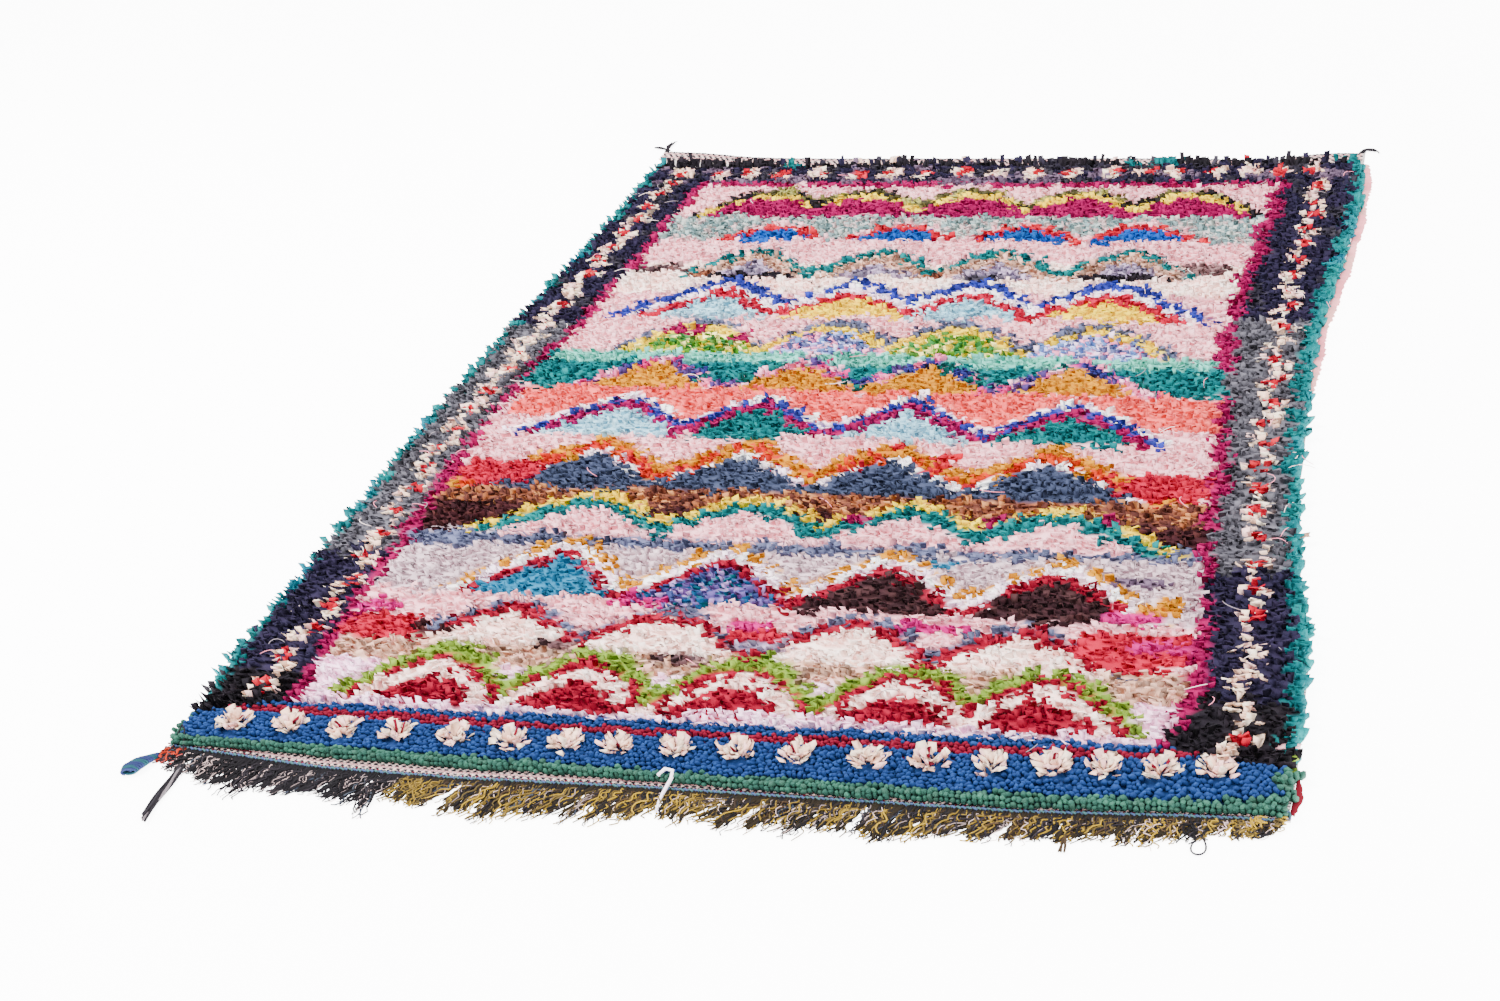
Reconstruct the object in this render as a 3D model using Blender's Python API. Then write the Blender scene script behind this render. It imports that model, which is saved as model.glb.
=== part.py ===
"""A hand-knotted boucherouite rug lying flat on a floor.

Rag and wool pile is tied in rows on a flat-woven ground. The ground runs on past the pile as a
thin heading at both ends. A twined edge and a fringe of warp ends finish the near end, a wrapped
tail and two knotted tassels finish the corners, and strips of cloth are sewn to the right edge.
"""

import math
import random
from collections import namedtuple

import bpy
import bmesh
from mathutils import Vector
from mathutils import noise

# Sizes in metres. The rug's own frame starts at its near left corner, with x along the near
# edge and y away along the left edge. At the end everything is moved so that the origin is the
# middle of the whole outline, on the floor.
WIDTH = 1.53
GAP = 0.0003

HEADING_HIGH = 0.003
WOOL_HIGH = 0.018
RAG_HIGH = 0.025
WOOL_BAND = 0.13
WALL_HIGH = 0.013
LUMP = 0.0045
RIDGE_HIGH = 0.007

COLUMNS = 40
ROWS = 58
WALL_RUN = 0.003
SHOULDER_RUN = 0.015

LOCK_WIDE = 0.015
LOCK_TIP = 0.006
LOCK_LOW = 0.0045
LOCK_TOP = 0.0115

BRAID_START = 0.0135
BRAID_WIDE = 0.0072
BRAID_HIGH = 0.0065
BRAID_STEPS = 150
BRAID_TWIST = 0.0008

STRIP_WIDE = 0.005
STRIP_HIGH = 0.004
STRANDS = 132
STRAND_WIDE = 0.0046
STRAND_TIP_WIDE = 0.0030
STRAND_STEPS = 3
LONG_STRAND = 4
LONG_STRAND_STEPS = 6
LONG_STRAND_BEND = 0.14
STRAND_SWAY = 0.0015
STRAND_LEAN = 0.14

STRIP_OF_CLOTH_HIGH = 0.0025
TASSEL_WIDE = 0.014
TASSEL_DEEP = 0.008

# The two long edges at the floor, as distance along the rug, left edge and right edge.
Side = namedtuple("Side", "along left right")
LONG_EDGES = (
    Side(-0.030, 0.002, 1.540),
    Side(0.000, 0.010, 1.538),
    Side(0.070, 0.010, 1.536),
    Side(0.220, -0.006, 1.541),
    Side(0.415, -0.008, 1.538),
    Side(0.610, -0.011, 1.514),
    Side(0.860, -0.021, 1.498),
    Side(1.350, -0.022, 1.490),
    Side(1.550, -0.017, 1.502),
    Side(1.750, -0.008, 1.522),
    Side(2.000, -0.006, 1.540),
    Side(2.290, -0.006, 1.540),
    Side(2.400, -0.030, 1.542),
)

# The two ends, as distance across the rug, where the pile starts and where its ground ends.
End = namedtuple("End", "across pile rim")
NEAR_END = (
    End(0.000, -0.002, -0.025),
    End(0.450, -0.003, -0.024),
    End(0.700, -0.001, -0.012),
    End(1.000, 0.001, -0.005),
    End(1.200, 0.004, 0.000),
    End(1.300, 0.012, 0.008),
    End(1.400, 0.022, 0.017),
    End(1.500, 0.028, 0.023),
    End(1.540, 0.026, 0.021),
)
FAR_END = (
    End(-0.020, 2.285, 2.400),
    End(0.100, 2.280, 2.384),
    End(0.200, 2.276, 2.356),
    End(0.300, 2.273, 2.345),
    End(0.500, 2.270, 2.338),
    End(0.700, 2.270, 2.334),
    End(1.150, 2.266, 2.325),
    End(1.350, 2.262, 2.306),
    End(1.400, 2.266, 2.334),
    End(1.460, 2.270, 2.350),
    End(1.540, 2.272, 2.346),
)

# The warp ends, as distance across the rug and how far they reach from the edge.
Reach = namedtuple("Reach", "across length")
FRINGE_REACH = (
    Reach(0.000, 0.030),
    Reach(0.050, 0.046),
    Reach(0.120, 0.058),
    Reach(0.250, 0.048),
    Reach(0.330, 0.066),
    Reach(0.380, 0.042),
    Reach(0.450, 0.056),
    Reach(0.640, 0.062),
    Reach(0.800, 0.050),
    Reach(1.000, 0.046),
    Reach(1.250, 0.050),
    Reach(1.320, 0.036),
    Reach(1.450, 0.028),
    Reach(1.540, 0.026),
)
LONG_STRAND_REACH = 0.140

# The wrapped tail at the near left corner, as its sections from the corner outwards.
Section = namedtuple("Section", "x y half_wide high")
CORNER_TAIL = (
    Section(0.0080, -0.0254, 0.0050, 0.006),
    Section(0.0020, -0.037, 0.0095, 0.010),
    Section(-0.006, -0.050, 0.0140, 0.014),
    Section(-0.012, -0.066, 0.0150, 0.015),
    Section(-0.013, -0.078, 0.0110, 0.012),
)

# The cloth sewn along the right edge, as distance along the rug and width.
Cloth = namedtuple("Cloth", "along wide")
SELVEDGE_STRIP = (
    Cloth(1.150, 0.004),
    Cloth(1.240, 0.012),
    Cloth(1.360, 0.018),
    Cloth(1.480, 0.015),
    Cloth(1.620, 0.021),
    Cloth(1.760, 0.017),
    Cloth(1.900, 0.020),
    Cloth(2.040, 0.016),
    Cloth(2.180, 0.020),
    Cloth(2.280, 0.014),
)
SELVEDGE_PATCH = (
    Cloth(0.034, 0.005),
    Cloth(0.050, 0.011),
    Cloth(0.075, 0.013),
    Cloth(0.100, 0.010),
    Cloth(0.120, 0.006),
)

# The yarn tassels at the far corners, as turn from straight away, reach and bend.
Yarn = namedtuple("Yarn", "turn length bend")
FAR_LEFT_YARNS = (
    Yarn(0.75, 0.046, 0.10),
    Yarn(0.52, 0.050, -0.10),
    Yarn(0.28, 0.062, -0.06),
    Yarn(0.10, 0.040, 0.05),
)
FAR_RIGHT_YARNS = (
    Yarn(0.30, 0.030, -0.35),
    Yarn(0.02, 0.036, -0.45),
    Yarn(-0.30, 0.026, -0.30),
)


def read(rows, key, column, at):
    """A table's value at a distance, straight between its rows."""
    if at <= getattr(rows[0], key):
        return getattr(rows[0], column)
    for near, far in zip(rows, rows[1:]):
        start = getattr(near, key)
        stop = getattr(far, key)
        if at <= stop:
            share = (at - start) / (stop - start)
            return getattr(near, column) * (1 - share) + getattr(far, column) * share
    return getattr(rows[-1], column)


def wave(x, y, size, seed=0.0):
    """Smooth unevenness from -1 to 1 that changes over the given distance."""
    return noise.noise(Vector((x / size, y / size, seed)))


def clear_scene():
    """Start from nothing."""
    for item in list(bpy.data.objects):
        bpy.data.objects.remove(item, do_unlink=True)


def finish(name, bm, colour, roughness):
    """Make an object with its own material out of a closed mesh."""
    bmesh.ops.recalc_face_normals(bm, faces=bm.faces[:])
    mesh = bpy.data.meshes.new(name)
    bm.to_mesh(mesh)
    bm.free()
    material = bpy.data.materials.new(name)
    material.use_nodes = True
    shader = material.node_tree.nodes["Principled BSDF"]
    shader.inputs["Base Color"].default_value = (*colour, 1.0)
    shader.inputs["Roughness"].default_value = roughness
    mesh.materials.append(material)
    item = bpy.data.objects.new(name, mesh)
    bpy.context.scene.collection.objects.link(item)
    return item


def skin(bm, rings):
    """Draw one closed ring out through the next ones and cap both ends."""
    face = bm.faces.new([bm.verts.new(place) for place in rings[0]])
    for ring in rings[1:]:
        face = bmesh.ops.extrude_discrete_faces(bm, faces=[face])["faces"][0]
        for vert, place in zip(face.verts, ring):
            vert.co = place
    bmesh.ops.holes_fill(bm, edges=bm.edges[:], sides=0)


def pile_height(x, y):
    """How high the pile stands: low wool at the near end, deep rag beyond, and a crease ridge."""
    share = min(max((y - WOOL_BAND) / 0.05, 0.0), 1.0)
    high = WOOL_HIGH + (RAG_HIGH - WOOL_HIGH) * share
    lumps = wave(x, y, 0.055) + 0.6 * wave(x, y, 0.16, 4.0)
    ridge = math.exp(-((x - 0.71) / 0.035) ** 2) * min(max((y - 1.7) / 0.4, 0.0), 1.0)
    return high + LUMP * share * lumps + 0.4 * LUMP * lumps + RIDGE_HIGH * ridge


def row_place(row, across):
    """Distance along the rug of one row of the slab, and how much of the full height it has."""
    pile_near = read(NEAR_END, "across", "pile", across)
    rim_near = read(NEAR_END, "across", "rim", across)
    pile_far = read(FAR_END, "across", "pile", across)
    rim_far = read(FAR_END, "across", "rim", across)
    ends = {
        0: (rim_near, 0),
        1: (pile_near, 0),
        2: (pile_near + WALL_RUN, 1),
        ROWS - 2: (pile_far - WALL_RUN, 1),
        ROWS - 1: (pile_far, 0),
        ROWS: (rim_far, 0),
    }
    if row in ends:
        return ends[row]
    first = pile_near + WALL_RUN + SHOULDER_RUN
    last = pile_far - WALL_RUN - SHOULDER_RUN
    return first + (last - first) * (row - 3) / (ROWS - 6), 2


def column_share(column):
    """Place of one column across the rug, from 0 to 1, with a shoulder by each edge."""
    shoulder = SHOULDER_RUN / WIDTH
    if column == 0:
        return 0.0
    if column == COLUMNS:
        return 1.0
    return shoulder + (1 - 2 * shoulder) * (column - 1) / (COLUMNS - 2)


def rug_point(column, row):
    """One point of the slab's upper side."""
    share = column_share(column)
    along, step = row_place(row, share * WIDTH)
    left = read(LONG_EDGES, "along", "left", along)
    right = read(LONG_EDGES, "along", "right", along)
    if 2 < row < ROWS - 2:
        left += 0.004 * wave(0.0, along, 0.07, 1.0)
        right += 0.004 * wave(0.0, along, 0.07, 2.0)
    x = left + (right - left) * share
    if step == 0:
        return Vector((x, along, HEADING_HIGH))
    if step == 1 or column in (0, COLUMNS):
        return Vector((x, along, WALL_HIGH))
    high = pile_height(x, along)
    if row in (3, ROWS - 3) or column in (1, COLUMNS - 1):
        high = WALL_HIGH + 0.8 * (high - WALL_HIGH)
    return Vector((x, along, high))


def grow_lock(bm, face, outward, reach, rng):
    """Draw one tapering tuft out of a wall face and let it droop."""
    face.normal_update()
    sideways = Vector((-face.normal.y, face.normal.x, 0.0)).normalized()
    bmesh.ops.inset_individual(bm, faces=[face], thickness=0.001, use_even_offset=True)
    middle = face.calc_center_median()
    for vert in face.verts:
        offset = vert.co - middle
        width = math.copysign(LOCK_WIDE / 2, offset.dot(sideways))
        vert.co += sideways * (width - offset.dot(sideways))
        vert.co.z = LOCK_TOP if offset.z > 0 else LOCK_LOW
    lean = rng.uniform(-0.35, 0.35)
    heading = (outward + sideways * lean).normalized()
    for share, drop, narrow in ((0.55, 0.0008, 0.75), (1.0, 0.0028, LOCK_TIP / LOCK_WIDE)):
        step = reach * (0.55 if share < 1 else 0.45)
        face = bmesh.ops.extrude_discrete_faces(bm, faces=[face])["faces"][0]
        middle = face.calc_center_median()
        for vert in face.verts:
            offset = vert.co - middle
            width = offset.dot(sideways)
            goal = math.copysign(LOCK_WIDE / 2 * narrow, width)
            vert.co += sideways * (goal - width) + heading * step
            vert.co.z -= drop if offset.z > 0 else 0.3 * drop


def make_rug():
    """The lumpy slab: pile, headings, flat underside and the tufts that stand out at its rim."""
    rng = random.Random(7)
    bm = bmesh.new()
    bmesh.ops.create_grid(bm, x_segments=COLUMNS, y_segments=ROWS, size=0.5)
    cell = {}
    for vert in bm.verts:
        column = round((vert.co.x + 0.5) * COLUMNS)
        row = round((vert.co.y + 0.5) * ROWS)
        cell[vert] = (column, row)
    for vert, (column, row) in cell.items():
        vert.co = rug_point(column, row)
    far_wall = [f for f in bm.faces if all(cell[v][1] in (ROWS - 2, ROWS - 1) for v in f.verts)]
    far_wall = [f for f in far_wall if all(0 < cell[v][0] < COLUMNS for v in f.verts)]
    rim = [edge for edge in bm.edges if edge.is_boundary]
    grown = bmesh.ops.extrude_edge_only(bm, edges=rim)["geom"]
    lowered = [item for item in grown if isinstance(item, bmesh.types.BMVert)]
    for vert in lowered:
        vert.co.z = 0.0
    side_walls = []
    for face in [item for item in grown if isinstance(item, bmesh.types.BMFace)]:
        upper = [cell[v] for v in face.verts if v in cell]
        if len({column for column, _ in upper}) == 1 and all(2 < row < ROWS - 2 for _, row in upper):
            side_walls.append((face, -1.0 if upper[0][0] == 0 else 1.0))
    floor = [item for item in grown if isinstance(item, bmesh.types.BMEdge)]
    floor = [edge for edge in floor if all(vert in lowered for vert in edge.verts)]
    bmesh.ops.contextual_create(bm, geom=floor)
    bmesh.ops.recalc_face_normals(bm, faces=bm.faces[:])
    for face, side in side_walls:
        grow_lock(bm, face, Vector((side, 0.0, 0.0)), rng.uniform(0.007, 0.015), rng)
    for face in far_wall:
        grow_lock(bm, face, Vector((0.0, 1.0, 0.0)), rng.uniform(0.010, 0.022), rng)
    finish("rug", bm, (0.62, 0.42, 0.46), 0.95)


def near_rim(x):
    """Distance along the rug of its near rim, straight between the slab's own points."""
    points = [rug_point(column, 0) for column in range(COLUMNS + 1)]
    for left, right in zip(points, points[1:]):
        if x <= right.x:
            share = (x - left.x) / (right.x - left.x)
            return left.y + (right.y - left.y) * share
    return points[-1].y


def right_rim(y):
    """Distance across the rug of its right edge, straight between the slab's own points."""
    points = [rug_point(COLUMNS, row) for row in range(ROWS + 1)]
    for near, far in zip(points, points[1:]):
        if y <= far.y:
            share = (y - near.y) / (far.y - near.y)
            return near.x + (far.x - near.x) * share
    return points[-1].x


def make_braid():
    """The twined edge: two yarns twisted round the warps in front of the heading."""
    stop = rug_point(COLUMNS, 0).x
    rings = []
    for step in range(BRAID_STEPS + 1):
        x = BRAID_START + (stop - BRAID_START) * step / BRAID_STEPS
        middle = near_rim(x) - GAP - BRAID_WIDE / 2
        twist = BRAID_TWIST * math.cos(math.pi * step)
        half = BRAID_WIDE / 2
        rings.append([
            Vector((x, middle - 0.8 * half, 0.0)),
            Vector((x, middle - half, 0.4 * BRAID_HIGH)),
            Vector((x, middle - 0.4 * half, BRAID_HIGH + twist)),
            Vector((x, middle + 0.4 * half, BRAID_HIGH - twist)),
            Vector((x, middle + half, 0.4 * BRAID_HIGH)),
            Vector((x, middle + 0.8 * half, 0.0)),
        ])
    bm = bmesh.new()
    skin(bm, rings)
    finish("edge_braid", bm, (0.13, 0.30, 0.36), 0.9)


def grow_strand(bm, face, heading, length, steps, tip_wide, rng, bend=0.0, wiggle=0.0):
    """Draw one flat-bottomed strand out of a root face, in steps that sway from side to side."""
    sideways = Vector((-heading.y, heading.x, 0.0))
    root = face.calc_center_median()
    low = min(vert.co.z for vert in face.verts)
    root.z = low
    corners = [((v.co - root).dot(sideways), v.co.z > low + 1e-5) for v in face.verts]
    wide = max(abs(offset) for offset, _ in corners)
    high = max(vert.co.z for vert in face.verts) - low
    phase = rng.uniform(0.0, 6.28)
    for step in range(1, steps + 1):
        share = step / steps
        sway = wiggle * math.sin(phase + 4.5 * share) * share + bend * length * share * share
        centre = root + heading * (length * share) + sideways * sway
        half = wide + (tip_wide / 2 - wide) * share
        top = high * (1.0 + 0.25 * math.sin(phase + 7.0 * share)) * (1.0 - 0.25 * share)
        face = bmesh.ops.extrude_discrete_faces(bm, faces=[face])["faces"][0]
        for vert, (offset, upper) in zip(face.verts, corners):
            vert.co = centre + sideways * math.copysign(half, offset)
            vert.co.z = low + (top if upper else 0.0)


def strand_lean(x):
    """Sideways lean of the warp ends, the same for neighbours."""
    return STRAND_LEAN * wave(x, 0.0, 0.12, 9.0)


def make_fringe():
    """The warp ends: strands on the floor, joined at their roots by a narrow strip."""
    rng = random.Random(11)
    start = BRAID_START + 0.004
    stop = rug_point(COLUMNS, 0).x - 0.002
    pitch = (stop - start) / STRANDS
    inset = (pitch - STRAND_WIDE) / 2
    stations = []
    for strand in range(STRANDS):
        left = start + strand * pitch
        stations.append(left + inset)
        stations.append(left + inset + STRAND_WIDE)
    stations = [start] + stations + [stop]
    bm = bmesh.new()
    inner = []
    outer = []
    for x in stations:
        edge = near_rim(x) - 2 * GAP - BRAID_WIDE
        inner.append(bm.verts.new((x, edge, STRIP_HIGH)))
        outer.append(bm.verts.new((x, edge - STRIP_WIDE, STRIP_HIGH)))
    for k in range(len(stations) - 1):
        bm.faces.new((outer[k], outer[k + 1], inner[k + 1], inner[k]))
    rim = [edge for edge in bm.edges if edge.is_boundary]
    grown = bmesh.ops.extrude_edge_only(bm, edges=rim)["geom"]
    lowered = [item for item in grown if isinstance(item, bmesh.types.BMVert)]
    for vert in lowered:
        vert.co.z = 0.0
    place = {vert: k for k, vert in enumerate(outer)}
    roots = []
    for face in [item for item in grown if isinstance(item, bmesh.types.BMFace)]:
        ends = sorted(place[vert] for vert in face.verts if vert in place)
        if len(ends) == 2 and ends[0] % 2 == 1 and ends[1] == ends[0] + 1:
            roots.append((ends[0] // 2, face))
    floor = [item for item in grown if isinstance(item, bmesh.types.BMEdge)]
    floor = [edge for edge in floor if all(vert in lowered for vert in edge.verts)]
    bmesh.ops.contextual_create(bm, geom=floor)
    bmesh.ops.recalc_face_normals(bm, faces=bm.faces[:])
    for strand, face in sorted(roots, key=lambda item: item[0]):
        x = face.calc_center_median().x
        lean = strand_lean(x)
        heading = Vector((math.sin(lean), -math.cos(lean), 0.0))
        length = read(FRINGE_REACH, "across", "length", x) * rng.uniform(0.82, 1.12)
        steps = STRAND_STEPS
        bend = 0.0
        if strand == LONG_STRAND:
            length = LONG_STRAND_REACH
            steps = LONG_STRAND_STEPS
            bend = LONG_STRAND_BEND
        grow_strand(bm, face, heading, length, steps, STRAND_TIP_WIDE, rng, bend, STRAND_SWAY)
    finish("near_fringe", bm, (0.25, 0.20, 0.16), 0.95)


def make_tail():
    """The wrapped tail that closes the near left corner."""
    rings = []
    for part in CORNER_TAIL:
        rings.append([
            Vector((part.x - 0.7 * part.half_wide, part.y, 0.0)),
            Vector((part.x - part.half_wide, part.y, 0.45 * part.high)),
            Vector((part.x - 0.5 * part.half_wide, part.y, part.high)),
            Vector((part.x + 0.5 * part.half_wide, part.y, part.high)),
            Vector((part.x + part.half_wide, part.y, 0.45 * part.high)),
            Vector((part.x + 0.7 * part.half_wide, part.y, 0.0)),
        ])
    bm = bmesh.new()
    skin(bm, rings)
    finish("corner_tail", bm, (0.12, 0.22, 0.42), 0.9)


def make_cloth(name, rows, colour):
    """A strip of cloth laid on the floor along the right edge."""
    stations = [point.y for point in (rug_point(COLUMNS, row) for row in range(ROWS + 1))]
    stations += [row.along for row in rows]
    inside = sorted(y for y in set(stations) if rows[0].along <= y <= rows[-1].along)
    rings = []
    for y in inside:
        inner = right_rim(y) + GAP
        wide = read(rows, "along", "wide", y) + 0.0015 * wave(0.0, y, 0.03, 5.0)
        rings.append([
            Vector((inner, y, 0.0)),
            Vector((inner + wide, y, 0.0)),
            Vector((inner + wide, y, 0.7 * STRIP_OF_CLOTH_HIGH)),
            Vector((inner, y, STRIP_OF_CLOTH_HIGH)),
        ])
    bm = bmesh.new()
    skin(bm, rings)
    finish(name, bm, colour, 0.9)


def make_tassel(name, columns, yarns, seed):
    """Dark yarn ends knotted off at a far corner: one small head with its strands fanned out."""
    rng = random.Random(seed)
    wide = TASSEL_WIDE
    deep = TASSEL_DEEP
    high = STRIP_HIGH
    rim = [rug_point(column, ROWS) for column in columns]
    near = max(point.y for point in rim) + GAP
    left = rim[0].x if columns[0] == 0 else rim[1].x - wide
    bm = bmesh.new()
    count = len(yarns)
    pitch = wide / count
    stations = [left]
    for k in range(count):
        stations.append(left + (k + 0.12) * pitch)
        stations.append(left + (k + 0.88) * pitch)
    stations.append(left + wide)
    back = [bm.verts.new((x, near, high)) for x in stations]
    front = [bm.verts.new((x, near + deep, high)) for x in stations]
    for k in range(len(stations) - 1):
        bm.faces.new((back[k], back[k + 1], front[k + 1], front[k]))
    rim = [edge for edge in bm.edges if edge.is_boundary]
    grown = bmesh.ops.extrude_edge_only(bm, edges=rim)["geom"]
    lowered = [item for item in grown if isinstance(item, bmesh.types.BMVert)]
    for vert in lowered:
        vert.co.z = 0.0
    place = {vert: k for k, vert in enumerate(front)}
    roots = []
    for face in [item for item in grown if isinstance(item, bmesh.types.BMFace)]:
        ends = sorted(place[vert] for vert in face.verts if vert in place)
        if len(ends) == 2 and ends[0] % 2 == 1:
            roots.append((ends[0] // 2, face))
    floor = [item for item in grown if isinstance(item, bmesh.types.BMEdge)]
    floor = [edge for edge in floor if all(vert in lowered for vert in edge.verts)]
    bmesh.ops.contextual_create(bm, geom=floor)
    bmesh.ops.recalc_face_normals(bm, faces=bm.faces[:])
    for k, face in sorted(roots, key=lambda item: item[0]):
        yarn = yarns[k]
        heading = Vector((-math.sin(yarn.turn), math.cos(yarn.turn), 0.0))
        grow_strand(bm, face, heading, yarn.length, 4, 0.0022, rng, yarn.bend, 0.0)
    finish(name, bm, (0.03, 0.025, 0.03), 0.95)


def centre_everything():
    """Move every piece so that the origin is the middle of the whole outline, on the floor."""
    items = list(bpy.data.objects)
    places = [vert.co for item in items for vert in item.data.vertices]
    middle_x = (min(p.x for p in places) + max(p.x for p in places)) / 2
    middle_y = (min(p.y for p in places) + max(p.y for p in places)) / 2
    for item in items:
        for vert in item.data.vertices:
            vert.co.x -= middle_x
            vert.co.y -= middle_y


def main():
    """Build every piece in the rug's own frame, then centre the lot."""
    clear_scene()
    make_rug()
    make_braid()
    make_fringe()
    make_tail()
    make_cloth("selvedge_strip", SELVEDGE_STRIP, (0.72, 0.52, 0.52))
    make_cloth("selvedge_patch", SELVEDGE_PATCH, (0.45, 0.03, 0.06))
    make_tassel("far_left_tassel", (0, 1), FAR_LEFT_YARNS, 3)
    make_tassel("far_right_tassel", (COLUMNS - 1, COLUMNS), FAR_RIGHT_YARNS, 5)
    centre_everything()


main()
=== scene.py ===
"""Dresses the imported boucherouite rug: rag pile, wool pile, flat weave, yarns and sewn cloth.

The rug's pattern is a set of named bands, stripes and patches in the rug's own chart, with u
across the rug from its near left corner and v along it, both in metres. The chart is read on the
top of the pile as it looks from the camera, so a chart place is a little further out from the
camera's foot than the real place under it.
"""

import math
from collections import namedtuple

import bpy
import bmesh
import numpy as np
from mathutils import Matrix
from mathutils import Vector
from mathutils.bvhtree import BVHTree


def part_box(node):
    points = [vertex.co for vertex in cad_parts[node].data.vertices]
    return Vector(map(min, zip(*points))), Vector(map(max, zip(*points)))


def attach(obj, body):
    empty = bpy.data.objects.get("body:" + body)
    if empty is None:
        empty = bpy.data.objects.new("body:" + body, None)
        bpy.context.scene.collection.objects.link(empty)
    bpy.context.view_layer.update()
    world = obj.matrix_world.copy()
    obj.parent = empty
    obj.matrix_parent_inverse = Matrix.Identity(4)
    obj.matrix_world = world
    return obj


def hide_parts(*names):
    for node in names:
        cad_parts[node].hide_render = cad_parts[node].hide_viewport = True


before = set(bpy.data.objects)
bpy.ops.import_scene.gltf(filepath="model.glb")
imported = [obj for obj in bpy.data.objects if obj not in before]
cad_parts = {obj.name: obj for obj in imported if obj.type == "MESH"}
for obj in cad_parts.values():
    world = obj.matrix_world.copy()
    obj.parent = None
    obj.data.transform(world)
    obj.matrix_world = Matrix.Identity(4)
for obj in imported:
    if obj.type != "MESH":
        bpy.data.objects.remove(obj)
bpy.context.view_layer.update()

# Places of the chart's corner in the frame, from two ends that the solids share with the chart.
BRAID_START = 0.0135
BRAID_END_GAP = 0.0003
TAIL_TIP = -0.078
CHART_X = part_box("edge_braid")[0][0] - BRAID_START
CHART_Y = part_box("corner_tail")[0][1] - TAIL_TIP

# The camera, as its place in the chart's frame and the three directions of its view.
CAMERA_U = 1.6656
CAMERA_V = -2.1777
CAMERA_HIGH = 1.6538
CAMERA_AXES = (
    (0.95625, -0.03727, 0.29016),
    (0.27184, 0.47969, -0.83427),
    (-0.10809, 0.87665, 0.46883),
)
CAMERA_LENS = 52.54
SENSOR_WIDE = 36.0

PILE_HIGH = 0.022

# The studio's light.
WHITE = (1, 1, 1, 1)
FLOOR_GLOW = 8.0
WORLD_GLOW = 3.6

# Sizes of what the rug is knotted from.
RAG_PITCH = 0.0215
RAG_ROW = 0.0245
RAG_LONG = 0.027
RAG_WIDE = 0.0090
LEAVES = ((-1, -1), (0, -1), (1, -1), (-0.6, 1), (0.4, 1), (1.4, 1))
KNOT_PITCH = 0.0071
KNOT_SIZE = 0.0096
YARN_THICK = 0.0023
WEAVE_HIGH = 0.0025
BRAID_WIDE = 0.0072
BRAID_TURN = 0.013
PILE_EDGE = 0.008
MAP_STEP = 0.004
FULL_LINE = 50
BED_STEP = 0.014
BED_DROP = 0.0065
BED_LEAST = 0.0035
BED_FOOT = 0.0012
SWELL_FROM = 0.95
SWELL_OVER = 0.45
CLOTH_THICK = 0.0009
CLOTH_SEED = 40
WALL_ROWS = ((0.0055, -0.0015), (0.0115, 0.0008))

# How a rag end's width, reach and height change by a side edge, in a flower and at the far edge.
RIM_REACH = 0.026
RIM_SIZES = np.array([0.35, -0.50, -0.20])
BLOOM_SIZES = np.array([1.20, 1.05, 1.03])
TALL_SIZES = np.array([1.0, 1.0, 1.22])

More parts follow.
